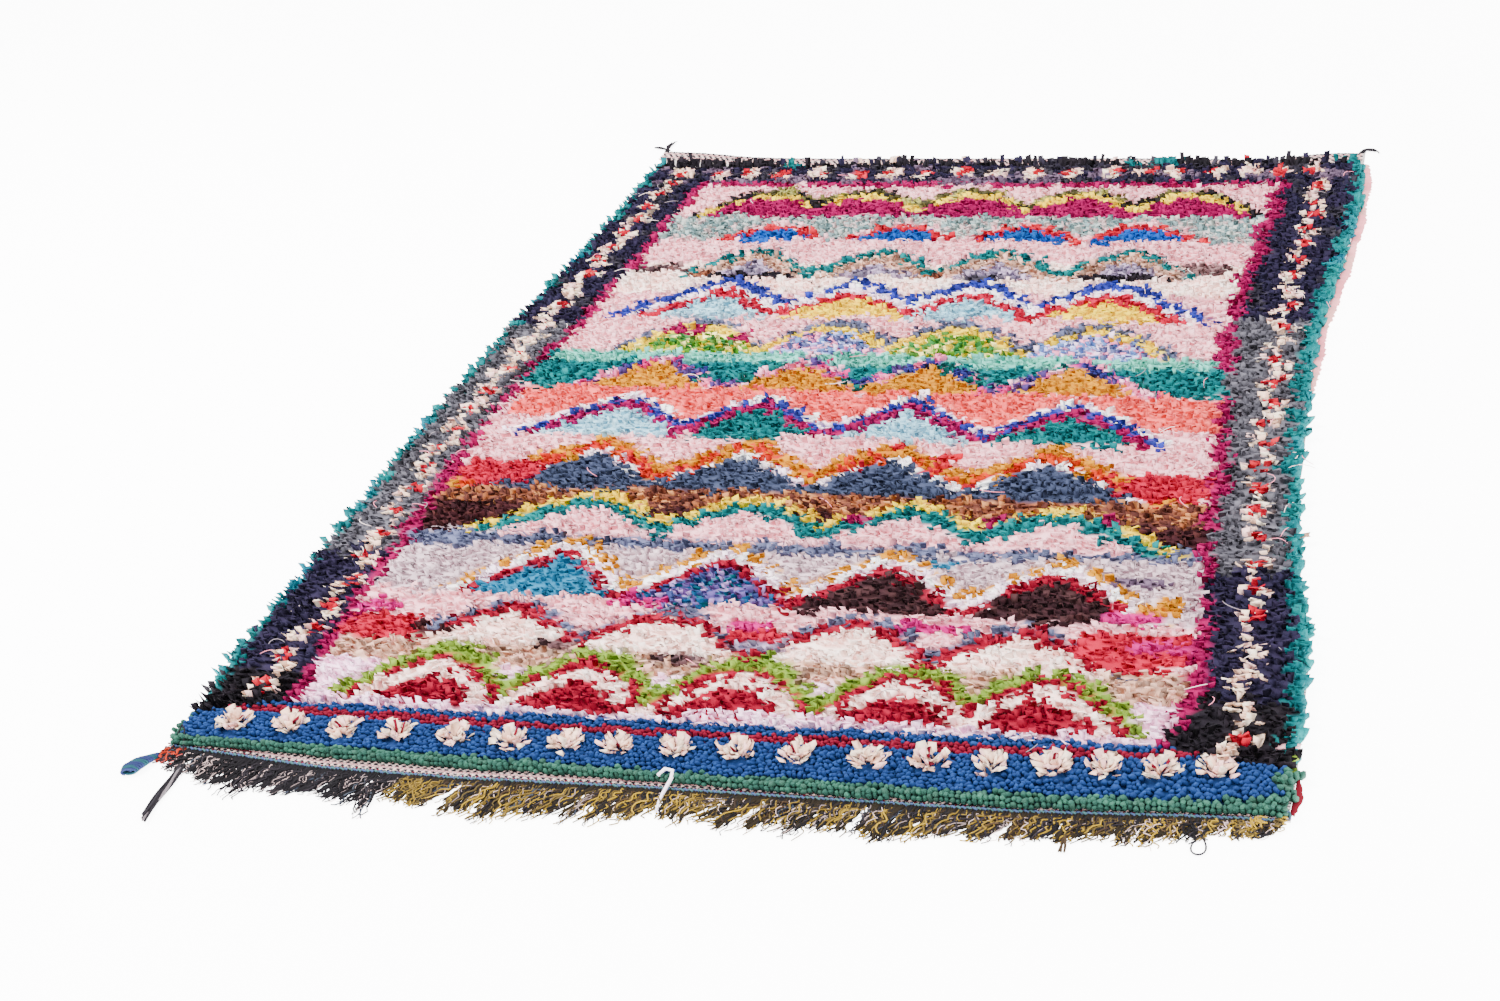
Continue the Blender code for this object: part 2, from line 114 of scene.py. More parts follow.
# Cloths and wools, as the sRGB dyes that each is mixed from. They are deeper than they look, since
# the studio's light is strong and the view softens it.
SHADES = {
    "pale_pink": ((232, 170, 178), (228, 165, 174), (236, 178, 186)),
    "lilac": ((246, 200, 226), (240, 190, 216), (246, 210, 232)),
    "cream": ((246, 214, 206), (246, 207, 199), (246, 227, 219)),
    "petal": ((246, 214, 190), (244, 202, 178), (246, 228, 206), (242, 196, 190)),
    "white": ((246, 229, 237), (246, 223, 241), (246, 246, 246)),
    "red": ((132, 10, 38), (122, 9, 34), (142, 12, 43)),
    "coral_red": ((162, 11, 47), (158, 10, 44), (170, 12, 51)),
    "coral": ((177, 13, 41), (173, 10, 40), (182, 31, 48)),
    "salmon": ((216, 84, 82), (212, 78, 78), (221, 92, 88)),
    "magenta": ((132, 2, 68), (122, 2, 62), (140, 3, 74)),
    "hot_pink": ((172, 10, 105), (167, 10, 100), (184, 10, 118)),
    "teal": ((8, 96, 99), (8, 87, 92), (10, 104, 105)),
    "sea_teal": ((8, 92, 108), (8, 84, 102), (14, 104, 112)),
    "mustard": ((180, 118, 10), (170, 110, 10), (190, 128, 12)),
    "yellow": ((228, 192, 20), (216, 180, 16), (236, 204, 34)),
    "orange": ((172, 51, 10), (176, 40, 10), (178, 64, 10)),
    "lime": ((108, 134, 42), (100, 126, 42), (118, 144, 48)),
    "denim": ((53, 60, 83), (50, 57, 79), (57, 64, 88)),
    "slate": ((85, 89, 116), (79, 83, 109), (92, 96, 125)),
    "pale_blue": ((142, 186, 202), (128, 172, 190), (158, 200, 214)),
    "grey_blue": ((192, 168, 176), (184, 160, 168), (204, 178, 186)),
    "mint": ((95, 180, 160), (86, 165, 151), (105, 192, 176)),
    "royal": ((40, 47, 131), (39, 45, 120), (43, 51, 144)),
    "bright_blue": ((15, 68, 148), (15, 70, 139), (15, 73, 158)),
    "turquoise": ((30, 102, 134), (28, 96, 128), (34, 108, 142)),
    "rust": ((116, 66, 48), (92, 50, 40), (144, 82, 50), (78, 42, 37), (178, 118, 74)),
    "maroon": ((55, 24, 28), (46, 18, 23), (69, 34, 34), (42, 17, 22)),
    "dark_brown": ((50, 26, 31), (42, 22, 27), (60, 36, 38), (38, 20, 24)),
    "navy": ((32, 28, 49), (30, 25, 45), (37, 31, 53)),
    "charcoal": ((45, 41, 51), (38, 34, 46), (54, 50, 59), (33, 30, 41)),
    "black": ((26, 22, 28), (23, 20, 25), (30, 25, 31)),
    "grey": ((84, 82, 90), (74, 72, 80), (95, 92, 101), (62, 60, 67)),
    "mauve": ((92, 75, 95), (85, 68, 87), (102, 83, 103)),
    "tan_print": ((192, 146, 124), (156, 120, 102), (220, 176, 154), (132, 104, 90),
                  (212, 160, 146)),
    "speckle": ((146, 164, 162), (116, 138, 140), (182, 186, 180), (94, 118, 120),
                (192, 162, 162)),
    "blue_print": ((50, 60, 108), (20, 72, 112), (74, 46, 98), (92, 76, 136), (10, 88, 102),
                   (156, 124, 180)),
    "floral_green": ((87, 138, 35), (186, 159, 10), (46, 112, 56), (246, 231, 138),
                     (66, 104, 39)),
    "floral_blue": ((229, 200, 227), (92, 121, 173), (240, 138, 173), (168, 182, 231),
                    (82, 87, 127)),
    "grey_print": ((148, 130, 154), (106, 94, 120), (176, 154, 184), (92, 84, 102)),
    "hill_mix": ((72, 51, 107), (10, 86, 82), (41, 42, 106), (196, 40, 118), (246, 178, 202),
                 (221, 110, 150)),
    "orange_mix": ((180, 50, 10), (160, 10, 35), (176, 110, 10), (176, 34, 22)),
    "mauve_brown": ((91, 64, 67), (71, 47, 50), (132, 99, 100), (61, 44, 48)),
    "olive_mix": ((32, 29, 29), (65, 62, 39), (90, 86, 47), (154, 150, 82), (27, 23, 29)),
    "wool_green": ((42, 79, 68), (38, 73, 63), (48, 90, 75), (46, 78, 66)),
    "wool_blue": ((26, 51, 100), (24, 48, 94), (29, 57, 108)),
    "wool_red": ((108, 10, 36), (102, 11, 34), (115, 12, 39)),
}
KNOT_MIXES = ("orange_mix", "hill_mix", "olive_mix", "mauve_brown")
CLOTHS = list(SHADES)
KIND = {name: place for place, name in enumerate(CLOTHS)}

# Bands of stepped hills, near to far. Base is where the hills stand, at the left and right of
# the field. Rise and half_wide are a hill's height and half its width, fills its cloths in turn,
# and rims the cloths round it with how thick each is.
Band = namedtuple("Band", "base_left base_right centres half_wide rise curve fills rims ground")
BANDS = (
    Band(0.145, 0.176, (), 0.07, 0.0, 1.0, (), (), "lilac"),
    Band(0.146, 0.190, (0.320, 0.544, 0.773, 1.009, 1.197), 0.090, 0.072, 1.6, ("red",),
         (("cream", 0.030), ("red", 0.024), ("lime", 0.038)), "lilac"),
    Band(0.318, 0.322, (0.373, 0.620, 0.903, 1.150), 0.112, 0.080, 1.5, ("cream",),
         (("red", 0.030), ("slate", 0.014)), "pale_pink"),
    Band(0.450, 0.452, (0.392, 0.660, 0.917, 1.172), 0.122, 0.112, 1.3,
         ("turquoise", "blue_print", "dark_brown", "dark_brown"),
         (("red", 0.026), ("white", 0.024), ("mustard", 0.020)), "grey_blue"),
    Band(0.640, 0.652, (0.380, 0.650, 0.905, 1.145), 0.135, 0.085, 1.3, ("pale_pink",),
         (("teal", 0.040), ("yellow", 0.018)), "maroon"),
    Band(0.792, 0.806, (0.328, 0.592, 0.842, 1.103), 0.158, 0.132, 0.95, ("denim",),
         (("white", 0.010), ("orange_mix", 0.036), ("mustard", 0.022)), "pale_pink"),
    Band(0.988, 1.000, (0.315, 0.570, 0.835, 1.110), 0.124, 0.108, 1.05, ("pale_blue", "teal"),
         (("magenta", 0.028), ("royal", 0.022), ("white", 0.014)), "pale_pink"),
    Band(1.172, 1.180, (0.330, 0.600, 0.830, 1.095), 0.116, 0.104, 1.15, ("mustard",),
         (("hill_mix", 0.046),), "teal"),
    Band(1.330, 1.334, (0.360, 0.620, 0.855, 1.110), 0.122, 0.098, 1.6,
         ("floral_green", "floral_blue"),
         (("yellow", 0.026), ("slate", 0.026)), "pale_pink"),
    Band(1.490, 1.490, (0.355, 0.615, 0.845, 1.105), 0.118, 0.092, 1.2, ("pale_blue", "yellow"),
         (("coral_red", 0.034), ("white", 0.026), ("royal", 0.034)), "pale_pink"),
    Band(1.690, 1.690, (0.370, 0.630, 0.870, 1.120), 0.080, 0.060, 1.4, ("grey_print",),
         (("tan_print", 0.050), ("teal", 0.032)), "cream"),
    Band(1.868, 1.868, (0.370, 0.640, 0.895, 1.130), 0.100, 0.070, 1.4, ("bright_blue",),
         (("coral", 0.028), ("pale_pink", 0.010)), "speckle"),
    Band(2.010, 1.990, (0.315, 0.525, 0.755, 0.985, 1.205), 0.132, 0.108, 1.9, ("magenta",),
         (("yellow", 0.022), ("olive_mix", 0.034)), "pale_pink"),
)
SLOPE_FROM = 0.1
SLOPE_TO = 1.4

# Ground stripes behind the hills: from one side to the other, with a level for each side.
Stripe = namedtuple("Stripe", "start_left start_right deep cloth")
GROUND_STRIPES = (
    Stripe(0.250, 0.262, 0.070, "tan_print"),
    Stripe(0.592, 0.632, 0.042, "slate"),
    Stripe(0.738, 0.745, 0.062, "rust"),
    Stripe(1.050, 1.055, 0.122, "salmon"),
    Stripe(1.288, 1.292, 0.044, "mint"),
    Stripe(1.600, 1.602, 0.090, "cream"),
    Stripe(1.755, 1.755, 0.113, "pale_pink"),
)

# Blocks of odd cloth over the pattern, as middle, half sizes and cloth.
Patch = namedtuple("Patch", "u v half_u half_v cloth")
PATCHES = (
    Patch(0.175, 0.345, 0.065, 0.035, "coral_red"),
    Patch(1.305, 0.390, 0.085, 0.050, "coral_red"),
    Patch(0.550, 0.455, 0.045, 0.013, "hot_pink"),
    Patch(1.020, 0.415, 0.060, 0.014, "hot_pink"),
    Patch(0.750, 0.405, 0.034, 0.016, "hot_pink"),
    Patch(0.760, 0.372, 0.050, 0.014, "coral_red"),
    Patch(0.771, 0.354, 0.045, 0.014, "grey_print"),
    Patch(0.150, 0.407, 0.035, 0.016, "hot_pink"),
    Patch(1.290, 0.478, 0.045, 0.016, "hot_pink"),
    Patch(1.335, 0.402, 0.045, 0.013, "hot_pink"),
    Patch(0.268, 0.338, 0.036, 0.0125, "maroon"),
    Patch(0.472, 0.317, 0.030, 0.016, "mauve_brown"),
    Patch(0.665, 0.303, 0.045, 0.013, "mauve_brown"),
    Patch(0.325, 1.425, 0.040, 0.014, "magenta"),
    Patch(0.450, 1.403, 0.022, 0.016, "magenta"),
    Patch(1.000, 0.595, 0.020, 0.012, "turquoise"),
    Patch(1.340, 0.510, 0.022, 0.022, "mustard"),
    Patch(1.290, 0.575, 0.035, 0.014, "mauve"),
    Patch(0.830, 0.725, 0.016, 0.014, "magenta"),
    Patch(1.050, 0.738, 0.016, 0.014, "magenta"),
    Patch(1.225, 0.750, 0.018, 0.014, "magenta"),
    Patch(0.170, 0.845, 0.075, 0.045, "coral_red"),
    Patch(1.300, 0.862, 0.085, 0.042, "coral_red"),
    Patch(0.935, 0.935, 0.020, 0.020, "coral"),
    Patch(0.375, 1.682, 0.105, 0.0125, "black"),
    Patch(0.880, 1.682, 0.080, 0.0120, "charcoal"),
    Patch(1.125, 1.682, 0.115, 0.0125, "black"),
    Patch(0.265, 1.690, 0.020, 0.012, "rust"),
    Patch(0.750, 1.690, 0.024, 0.0160, "rust"),
    Patch(0.180, 1.720, 0.050, 0.022, "mauve_brown"),
    Patch(1.270, 1.730, 0.040, 0.020, "mauve_brown"),
)

# The magenta frame's columns and the white zigzags beside them, as places along the rug.
Column = namedtuple("Column", "v left right white_left white_right")
COLUMNS = (
    Column(0.10, 0.135, 1.352, 0.072, 1.455),
    Column(0.20, 0.125, 1.370, 0.070, 1.458),
    Column(0.30, 0.115, 1.395, 0.070, 1.460),
    Column(0.45, 0.105, 1.390, 0.070, 1.456),
    Column(0.65, 0.095, 1.375, 0.055, 1.450),
    Column(0.90, 0.085, 1.370, 0.032, 1.432),
    Column(1.00, 0.080, 1.366, 0.030, 1.430),
    Column(1.25, 0.075, 1.350, 0.030, 1.430),
    Column(1.45, 0.105, 1.336, 0.030, 1.430),
    Column(1.70, 0.115, 1.348, 0.032, 1.432),
    Column(1.90, 0.118, 1.364, 0.040, 1.446),
    Column(2.10, 0.120, 1.375, 0.045, 1.455),
    Column(2.30, 0.120, 1.385, 0.050, 1.460),
)
COLUMN_HALF = 0.0110
COLUMN_GAP = (1.195, 1.285)
FAR_LINE_LEFT = 2.186
FAR_LINE_RIGHT = 2.172
FAR_LINE_DEEP = 0.020
MIDDLE_U = 0.75
FLOWER_PITCH = 0.076
ZIGZAG_FROM = 0.13
ZIGZAG_TO = 2.225
ZIGZAG_LEAST = 0.0050
BARE_HEARTS = (0.20, 0.46)

# The side borders' ground cloths, as how far along each one reaches at the left and the right.
Ground = namedtuple("Ground", "left right cloth")
BORDER_GROUNDS = (
    Ground(0.21, 0.29, "black"),
    Ground(0.56, 0.62, "navy"),
    Ground(1.45, 1.50, "grey"),
    Ground(2.60, 2.60, "navy"),
)
FAR_FLOWERS = (0.055, 0.145, 0.215, 0.290, 0.380, 0.470, 0.540, 0.620, 0.700, 0.775,
               0.860, 0.935, 1.030, 1.100, 1.165, 1.240, 1.310, 1.370, 1.440)
FAR_FLOWER_V = 2.258
FAR_TUFTS = ((0.285, 0.325, "teal"), (1.055, 1.165, "teal"), (0.690, 0.715, "mauve"),
             (0.860, 0.900, "charcoal"))
FAR_TUFTS_FROM = 2.298
FAR_BLACK_FROM = 2.300
BLOTCHES_FROM = 1.52
BORDER_LEFT = 0.11
BORDER_RIGHT = 1.38
EDGE_TEAL = 0.021
LEFT_TEAL = 0.017
TEAL_FROM = 0.14
TEAL_TO = 2.32
GREEN_LEFT = 0.010
GREEN_RIGHT = 0.022

# The wool band at the near end: its lines as levels at the left and right.
NEAR_FLOWERS = (0.072, 0.158, 0.243, 0.325, 0.410, 0.495, 0.575, 0.648, 0.730,
                0.815, 0.898, 0.995, 1.075, 1.155, 1.235, 1.300, 1.370, 1.440)
Level = namedtuple("Level", "u green red red_top wool_top flower")
WOOL_LEVELS = (
    Level(0.00, 0.026, 0.094, 0.094, 0.094, 0.072),
    Level(0.12, 0.026, 0.094, 0.110, 0.134, 0.074),
    Level(0.45, 0.028, 0.096, 0.112, 0.143, 0.078),
    Level(0.80, 0.028, 0.106, 0.122, 0.153, 0.090),
    Level(1.15, 0.034, 0.116, 0.136, 0.166, 0.104),
    Level(1.37, 0.048, 0.128, 0.146, 0.172, 0.118),
    Level(1.44, 0.054, 0.150, 0.150, 0.150, 0.128),
    Level(1.51, 0.066, 0.146, 0.146, 0.146, 0.130),
    Level(1.56, 0.090, 0.146, 0.146, 0.146, 0.130),
)


def dye_of(shade):
    """A dye given as an sRGB shade from 0 to 255, as linear light."""
    share = np.asarray(shade, float) / 255.0
    return np.where(share <= 0.04045, share / 12.92, ((share + 0.055) / 1.055) ** 2.4)


def column_of(rows, key, name, at):
    """A table's values at many places, straight between its rows."""
    keys = [getattr(row, key) for row in rows]
    values = [getattr(row, name) for row in rows]
    return np.interp(at, keys, values)


def across_slope(u, left, right):
    """A level that runs from one side of the field to the other."""
    share = np.clip((u - SLOPE_FROM) / (SLOPE_TO - SLOPE_FROM), -0.1, 1.1)
    return left + (right - left) * share


def chart(x, y, high=PILE_HIGH):
    """Chart places of points at a height in the frame."""
    scale = 1 - high / CAMERA_HIGH
    u = CAMERA_U + (x - CHART_X - CAMERA_U) / scale
    v = CAMERA_V + (y - CHART_Y - CAMERA_V) / scale
    return u, v


def place(u, v, high=PILE_HIGH):
    """Frame places of chart points at a height."""
    scale = 1 - high / CAMERA_HIGH
    x = CHART_X + CAMERA_U + (u - CAMERA_U) * scale
    y = CHART_Y + CAMERA_V + (v - CAMERA_V) * scale
    return x, y


def add_object(name, data):
    """A new object in the scene."""
    item = bpy.data.objects.new(name, data)
    bpy.context.scene.collection.objects.link(item)
    return item


def mesh_of(bm, name):
    """A new mesh from a finished form."""
    mesh = bpy.data.meshes.new(name)
    bm.to_mesh(mesh)
    bm.free()
    return mesh


def set_inputs(node, **values):
    """Give a node's sockets their constants. An underscore stands for a space in a name."""
    for name, value in values.items():
        node.inputs[name.replace("_", " ")].default_value = value


def add_node(tree, kind, operation=None, **values):
    """A new shader node with its constants."""
    node = tree.nodes.new("ShaderNode" + kind)
    if operation:
        node.operation = operation
    set_inputs(node, **values)
    return node


def wire(tree, *links):
    """Link sockets, each link a node and socket to another node and socket."""
    for source, out, target, into in links:
        tree.links.new(source.outputs[out], target.inputs[into])


def new_material(name, **values):
    """A material with its node tree and its shader."""
    material = bpy.data.materials.new(name)
    material.use_nodes = True
    shader = material.node_tree.nodes["Principled BSDF"]
    set_inputs(shader, **values)
    return material, material.node_tree, shader


def add_camera():
    """The photograph's view: a standing camera, a little rolled."""
    data = bpy.data.cameras.new("camera")
    data.lens = CAMERA_LENS
    data.sensor_width = SENSOR_WIDE
    data.clip_start = 0.05
    camera = add_object("camera", data)
    spot = Vector((CHART_X + CAMERA_U, CHART_Y + CAMERA_V, CAMERA_HIGH))
    camera.matrix_world = Matrix.Translation(spot) @ Matrix(CAMERA_AXES).to_4x4()
    bpy.context.scene.camera = camera


def add_light(name, spot, size, power, target):
    """One soft square studio lamp."""
    data = bpy.data.lights.new(name, "AREA")
    data.shape = "RECTANGLE"
    data.size = data.size_y = size
    data.energy = power
    lamp = add_object(name, data)
    lamp.location = spot
    lamp.rotation_euler = (Vector(target) - Vector(spot)).to_track_quat("-Z", "Y").to_euler()


def add_studio():
    """Pale floor, white surroundings and soft light."""
    bm = bmesh.new()
    bmesh.ops.create_grid(bm, x_segments=1, y_segments=1, size=14.0)
    floor = add_object("floor", mesh_of(bm, "floor"))
    paint = new_material("floor_paint", Base_Color=(0.95, 0.95, 0.95, 1), Roughness=0.9,
                         Emission_Color=WHITE, Emission_Strength=FLOOR_GLOW)[0]
    floor.data.materials.append(paint)
    floor.location.z = -0.0004
    world = bpy.data.worlds.new("studio")
    world.use_nodes = True
    set_inputs(world.node_tree.nodes["Background"], Color=WHITE, Strength=WORLD_GLOW)
    bpy.context.scene.world = world
    add_light("key", (-2.6, -0.6, 3.4), 1.6, 380, (0, 0.2, 0))
    add_light("fill", (2.8, -2.0, 3.0), 2.5, 150, (0, 0, 0))


def height_map():
    """The solid rug's heights on an even grid, with its row and column places."""
    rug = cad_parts["rug"].data
    tree = BVHTree.FromPolygons([tuple(vert.co) for vert in rug.vertices],
                                [tuple(face.vertices) for face in rug.polygons])
    low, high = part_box("rug")
    xs = np.arange(low[0] - MAP_STEP, high[0] + 2 * MAP_STEP, MAP_STEP)
    ys = np.arange(low[1] - MAP_STEP, high[1] + 2 * MAP_STEP, MAP_STEP)
    heights = np.zeros((len(ys), len(xs)))
    for row, y in enumerate(ys):
        for column, x in enumerate(xs):
            hit = tree.ray_cast(Vector((x, y, 1.0)), Vector((0, 0, -1)))[0]
            if hit is not None:
                heights[row, column] = hit.z
    return xs, ys, heights


GRID_X, GRID_Y, HEIGHTS = height_map()
IS_PILE = HEIGHTS > PILE_EDGE


def spans():
    """Left and right ends of the pile for each row, and near and far ends for each column."""
    ends = []
    for lines, places in ((IS_PILE, GRID_X), (IS_PILE.T, GRID_Y)):
        filled = [np.flatnonzero(line) for line in lines]
        known = [k for k, line in enumerate(filled) if len(line) > FULL_LINE]
        for end in (0, -1):
            values = [places[filled[k][end]] for k in known]
            ends.append(np.interp(np.arange(len(lines)), known, values))
    return ends


SPAN_LEFT, SPAN_RIGHT, SPAN_NEAR, SPAN_FAR = spans()
SPAN_X = (CHART_X + 0.012, CHART_X + 1.534)


def end_rim(near):
    """The near or far rim of the rug's underside, left to right."""
    middle = CHART_Y + (0.06 if near else 2.30)
    sign = 1 if near else -1
    best = {}
    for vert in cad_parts["rug"].data.vertices:
        x, y, z = vert.co
        if z < 1e-5 and sign * (y - middle) < 0:
            key = round(x, 3)
            best[key] = sign * min(sign * y, sign * best.get(key, sign * 9.0))
    keys = sorted(best)
    return np.array(keys), np.array([best[key] for key in keys])


RIM_X, RIM_Y = end_rim(True)
FAR_X, FAR_Y = end_rim(False)


def height_at(x, y):
    """Pile height at many places, between the map's points."""
    column = np.clip((x - GRID_X[0]) / MAP_STEP, 0, len(GRID_X) - 1.001)
    row = np.clip((y - GRID_Y[0]) / MAP_STEP, 0, len(GRID_Y) - 1.001)
    c = column.astype(int)
    r = row.astype(int)
    fc = column - c
    fr = row - r
    near = HEIGHTS[r, c] * (1 - fc) + HEIGHTS[r, c + 1] * fc
    far = HEIGHTS[r + 1, c] * (1 - fc) + HEIGHTS[r + 1, c + 1] * fc
    return near * (1 - fr) + far * fr


def edge_room(x, y):
    """Room from many places to the pile's left, right, near and far edges."""
    left = x - np.interp(y, GRID_Y, SPAN_LEFT)
    right = np.interp(y, GRID_Y, SPAN_RIGHT) - x
    near = y - np.interp(x, GRID_X, SPAN_NEAR)
    far = np.interp(x, GRID_X, SPAN_FAR) - y
    return left, right, near, far


def soft_noise(u, v, size, seed):
    """Smooth unevenness from about -1 to 1, as a few crossed waves."""
    rng = np.random.default_rng(seed)
    total = np.zeros_like(u)
    for _ in range(6):
        angle = rng.uniform(0, math.pi * 2)
        pace = rng.uniform(0.7, 1.6) * 2 * math.pi / size
        phase = rng.uniform(0, math.pi * 2)
        total += np.sin((u * math.cos(angle) + v * math.sin(angle)) * pace + phase)
    return total / 3.0


def paint_bands(u, v, kinds):
    """Lay the bands of stepped hills over the field, near to far."""
    for band in BANDS:
        base = across_slope(u, band.base_left, band.base_right)
        here = v >= base
        kinds[here] = KIND[band.ground]
        for stripe in GROUND_STRIPES:
            start = across_slope(u, stripe.start_left, stripe.start_right)
            level = (v >= start) & (v < start + stripe.deep) & here
            kinds[level & (u > SLOPE_FROM) & (u < SLOPE_TO)] = KIND[stripe.cloth]
        if not band.centres:
            continue
        gaps = np.abs(u[:, None] - np.array(band.centres))
        nearest = gaps.argmin(axis=1)
        away = gaps.min(axis=1)
        above = (v - base) - band.rise * (1 - (away / band.half_wide) ** band.curve)
        fills = np.array([KIND[band.fills[k % len(band.fills)]] for k in range(len(band.centres))])
        inside = here & (above < 0)
        kinds[inside] = fills[nearest[inside]]
        start = 0.0
        for cloth, thick in band.rims:
            kinds[here & (above >= start) & (above < start + thick)] = KIND[cloth]
            start += thick


def paint_patches(u, v, kinds):
    """Lay the odd blocks of cloth over the field."""
    for patch in PATCHES:
        du = np.abs(u - patch.u) / patch.half_u
        dv = np.abs(v - patch.v) / patch.half_v
        kinds[(du ** 3 + dv ** 3) < 1] = KIND[patch.cloth]


def paint_borders(u, v, kinds):
    """Lay the magenta frame and the dark borders with their white zigzags."""
    tooth = 0.007 * soft_noise(u, v, 0.045, 21)
    left = column_of(COLUMNS, "v", "left", v) + tooth
    right = column_of(COLUMNS, "v", "right", v) + tooth
    far_line = across_slope(u, FAR_LINE_LEFT, FAR_LINE_RIGHT) + 0.5 * tooth
    far_border = v > far_line + FAR_LINE_DEEP
    outside = (u < left) | (u > right) | far_border
    for ground in reversed(BORDER_GROUNDS):
        reach = np.where(u < MIDDLE_U, ground.left, ground.right) + 2 * tooth
        kinds[outside & (v < reach)] = KIND[ground.cloth]
    blotch = soft_noise(u, v, 0.13, 33)
    kinds[outside & (v > BLOTCHES_FROM) & (blotch > 0.55)] = KIND["charcoal"]
    kinds[far_border & (blotch > 0.35)] = KIND["mauve"]
    kinds[far_border & (blotch < -0.45)] = KIND["charcoal"]
    kinds[far_border & (v > FAR_BLACK_FROM)] = KIND["black"]
    side = (v < far_line + FAR_LINE_DEEP) & (v > 0.12)
    columns = (np.abs(u - left) < COLUMN_HALF) | (np.abs(u - right) < COLUMN_HALF)
    gap = (u > MIDDLE_U) & (v > COLUMN_GAP[0]) & (v < COLUMN_GAP[1])
    kinds[columns & side & ~gap] = KIND["magenta"]
    line = (v >= far_line) & (v < far_line + FAR_LINE_DEEP) & (u > left) & (u < right)
    kinds[line] = KIND["magenta"]
    for spot in FAR_FLOWERS:
        middle = FAR_FLOWER_V + 0.008 * math.sin(spot * 40)
        du, dv = np.abs(u - spot), np.abs(v - middle)
        kinds[((du / 0.020) ** 2 + (dv / 0.027) ** 2) < 1] = KIND["petal"]
        kinds[(du < 0.010) & (dv < 0.016)] = KIND["coral"]
    for low, high, cloth in FAR_TUFTS:
        kinds[(u > low) & (u < high) & (v > FAR_TUFTS_FROM)] = KIND[cloth]


def paint_zigzags(u, v, kinds):
    """Lay the white flowers with coral hearts that climb both side borders."""
    on_left = u < MIDDLE_U
    widest = np.where(on_left, 0.024, 0.020)
    for name, here in (("white_left", on_left), ("white_right", u > MIDDLE_U)):
        middle = column_of(COLUMNS, "v", name, v)
        turn = v / FLOWER_PITCH + (0.35 if name == "white_left" else 0.0)
        share = turn - np.floor(turn)
        lean = 0.010 * np.sin(2 * math.pi * turn) * np.where(np.floor(turn) % 2 > 0, 1, -1)
        away = np.abs(u - middle - lean)
        reach = widest * np.sqrt(np.clip(1 - ((share - 0.5) / 0.33) ** 2, 0, 1))
        here = here & (v > ZIGZAG_FROM) & (v < ZIGZAG_TO)
        kinds[here & (away < np.maximum(reach, ZIGZAG_LEAST))] = KIND["petal"]
        heart = here & (away < 0.0105) & (np.abs(share - 0.5) < 0.15)
        low, high = BARE_HEARTS
        kinds[heart & (on_left | (v > high) | (v < low))] = KIND["coral"]


def cloth_at(u, v, room_left, room_right, seed):
    """Which cloth each knot is tied from."""
    kinds = np.full(len(u), KIND["lilac"])
    paint_bands(u, v, kinds)
    paint_patches(u, v, kinds)
    paint_borders(u, v, kinds)
    uneven = 0.006 * soft_noise(u, v, 0.05, seed)
    edge = (room_left < LEFT_TEAL + uneven) | (room_right < EDGE_TEAL + uneven)
    edge &= (v > TEAL_FROM) & (v < TEAL_TO)
    kinds[edge] = KIND["teal"]
    kinds[edge & (soft_noise(u, v, 0.25, seed + 1) > 0.55)] = KIND["sea_teal"]
    return kinds


def wool_at(u, v, room_left, room_right):
    """Which wool each knot of the near band is tied from."""
    kinds = np.full(len(u), KIND["wool_blue"])
    green, red, red_top = (column_of(WOOL_LEVELS, "u", name, u)
                           for name in ("green", "red", "red_top"))
    kinds[(v >= red) & (v < red_top)] = KIND["wool_red"]
    kinds[v < green] = KIND["wool_green"]
    kinds[(room_right < GREEN_RIGHT) | (room_left < GREEN_LEFT)] = KIND["wool_green"]
    return kinds


def shade_of(kinds, rng, spread=0.06, knot=None):
    """Linear colours for many tufts: prints change leaf by leaf, plain cloths knot by knot."""
    counts = np.array([len(shades) for shades in SHADES.values()])
    table = np.array([[dye_of(shades[k % len(shades)]) for k in range(counts.max())]
                      for shades in SHADES.values()])
    chance = rng.random(len(kinds))
    bright = 1 + spread * rng.standard_normal(len(kinds))
    if knot is not None:
        printed = (counts[kinds] > 3) & ~np.isin(kinds, [KIND[name] for name in KNOT_MIXES])
        chance = np.where(printed, chance, rng.random(knot.max() + 1)[knot])
        bright = bright + spread * rng.standard_normal(knot.max() + 1)[knot]
    colours = table[kinds, (chance * counts[kinds]).astype(int)]
    return np.clip(colours * bright[:, None], 0.0, 1.0)


def template_of(bm):
    """A closed form's points and triangles, for laying down many times."""
    bmesh.ops.recalc_face_normals(bm, faces=bm.faces[:])
    bmesh.ops.triangulate(bm, faces=bm.faces[:])
    bm.verts.ensure_lookup_table()
    bm.verts.index_update()
    points = np.array([vert.co[:] for vert in bm.verts])
    faces = np.array([[vert.index for vert in face.verts] for face in bm.faces])
    bm.free()
    return points, faces


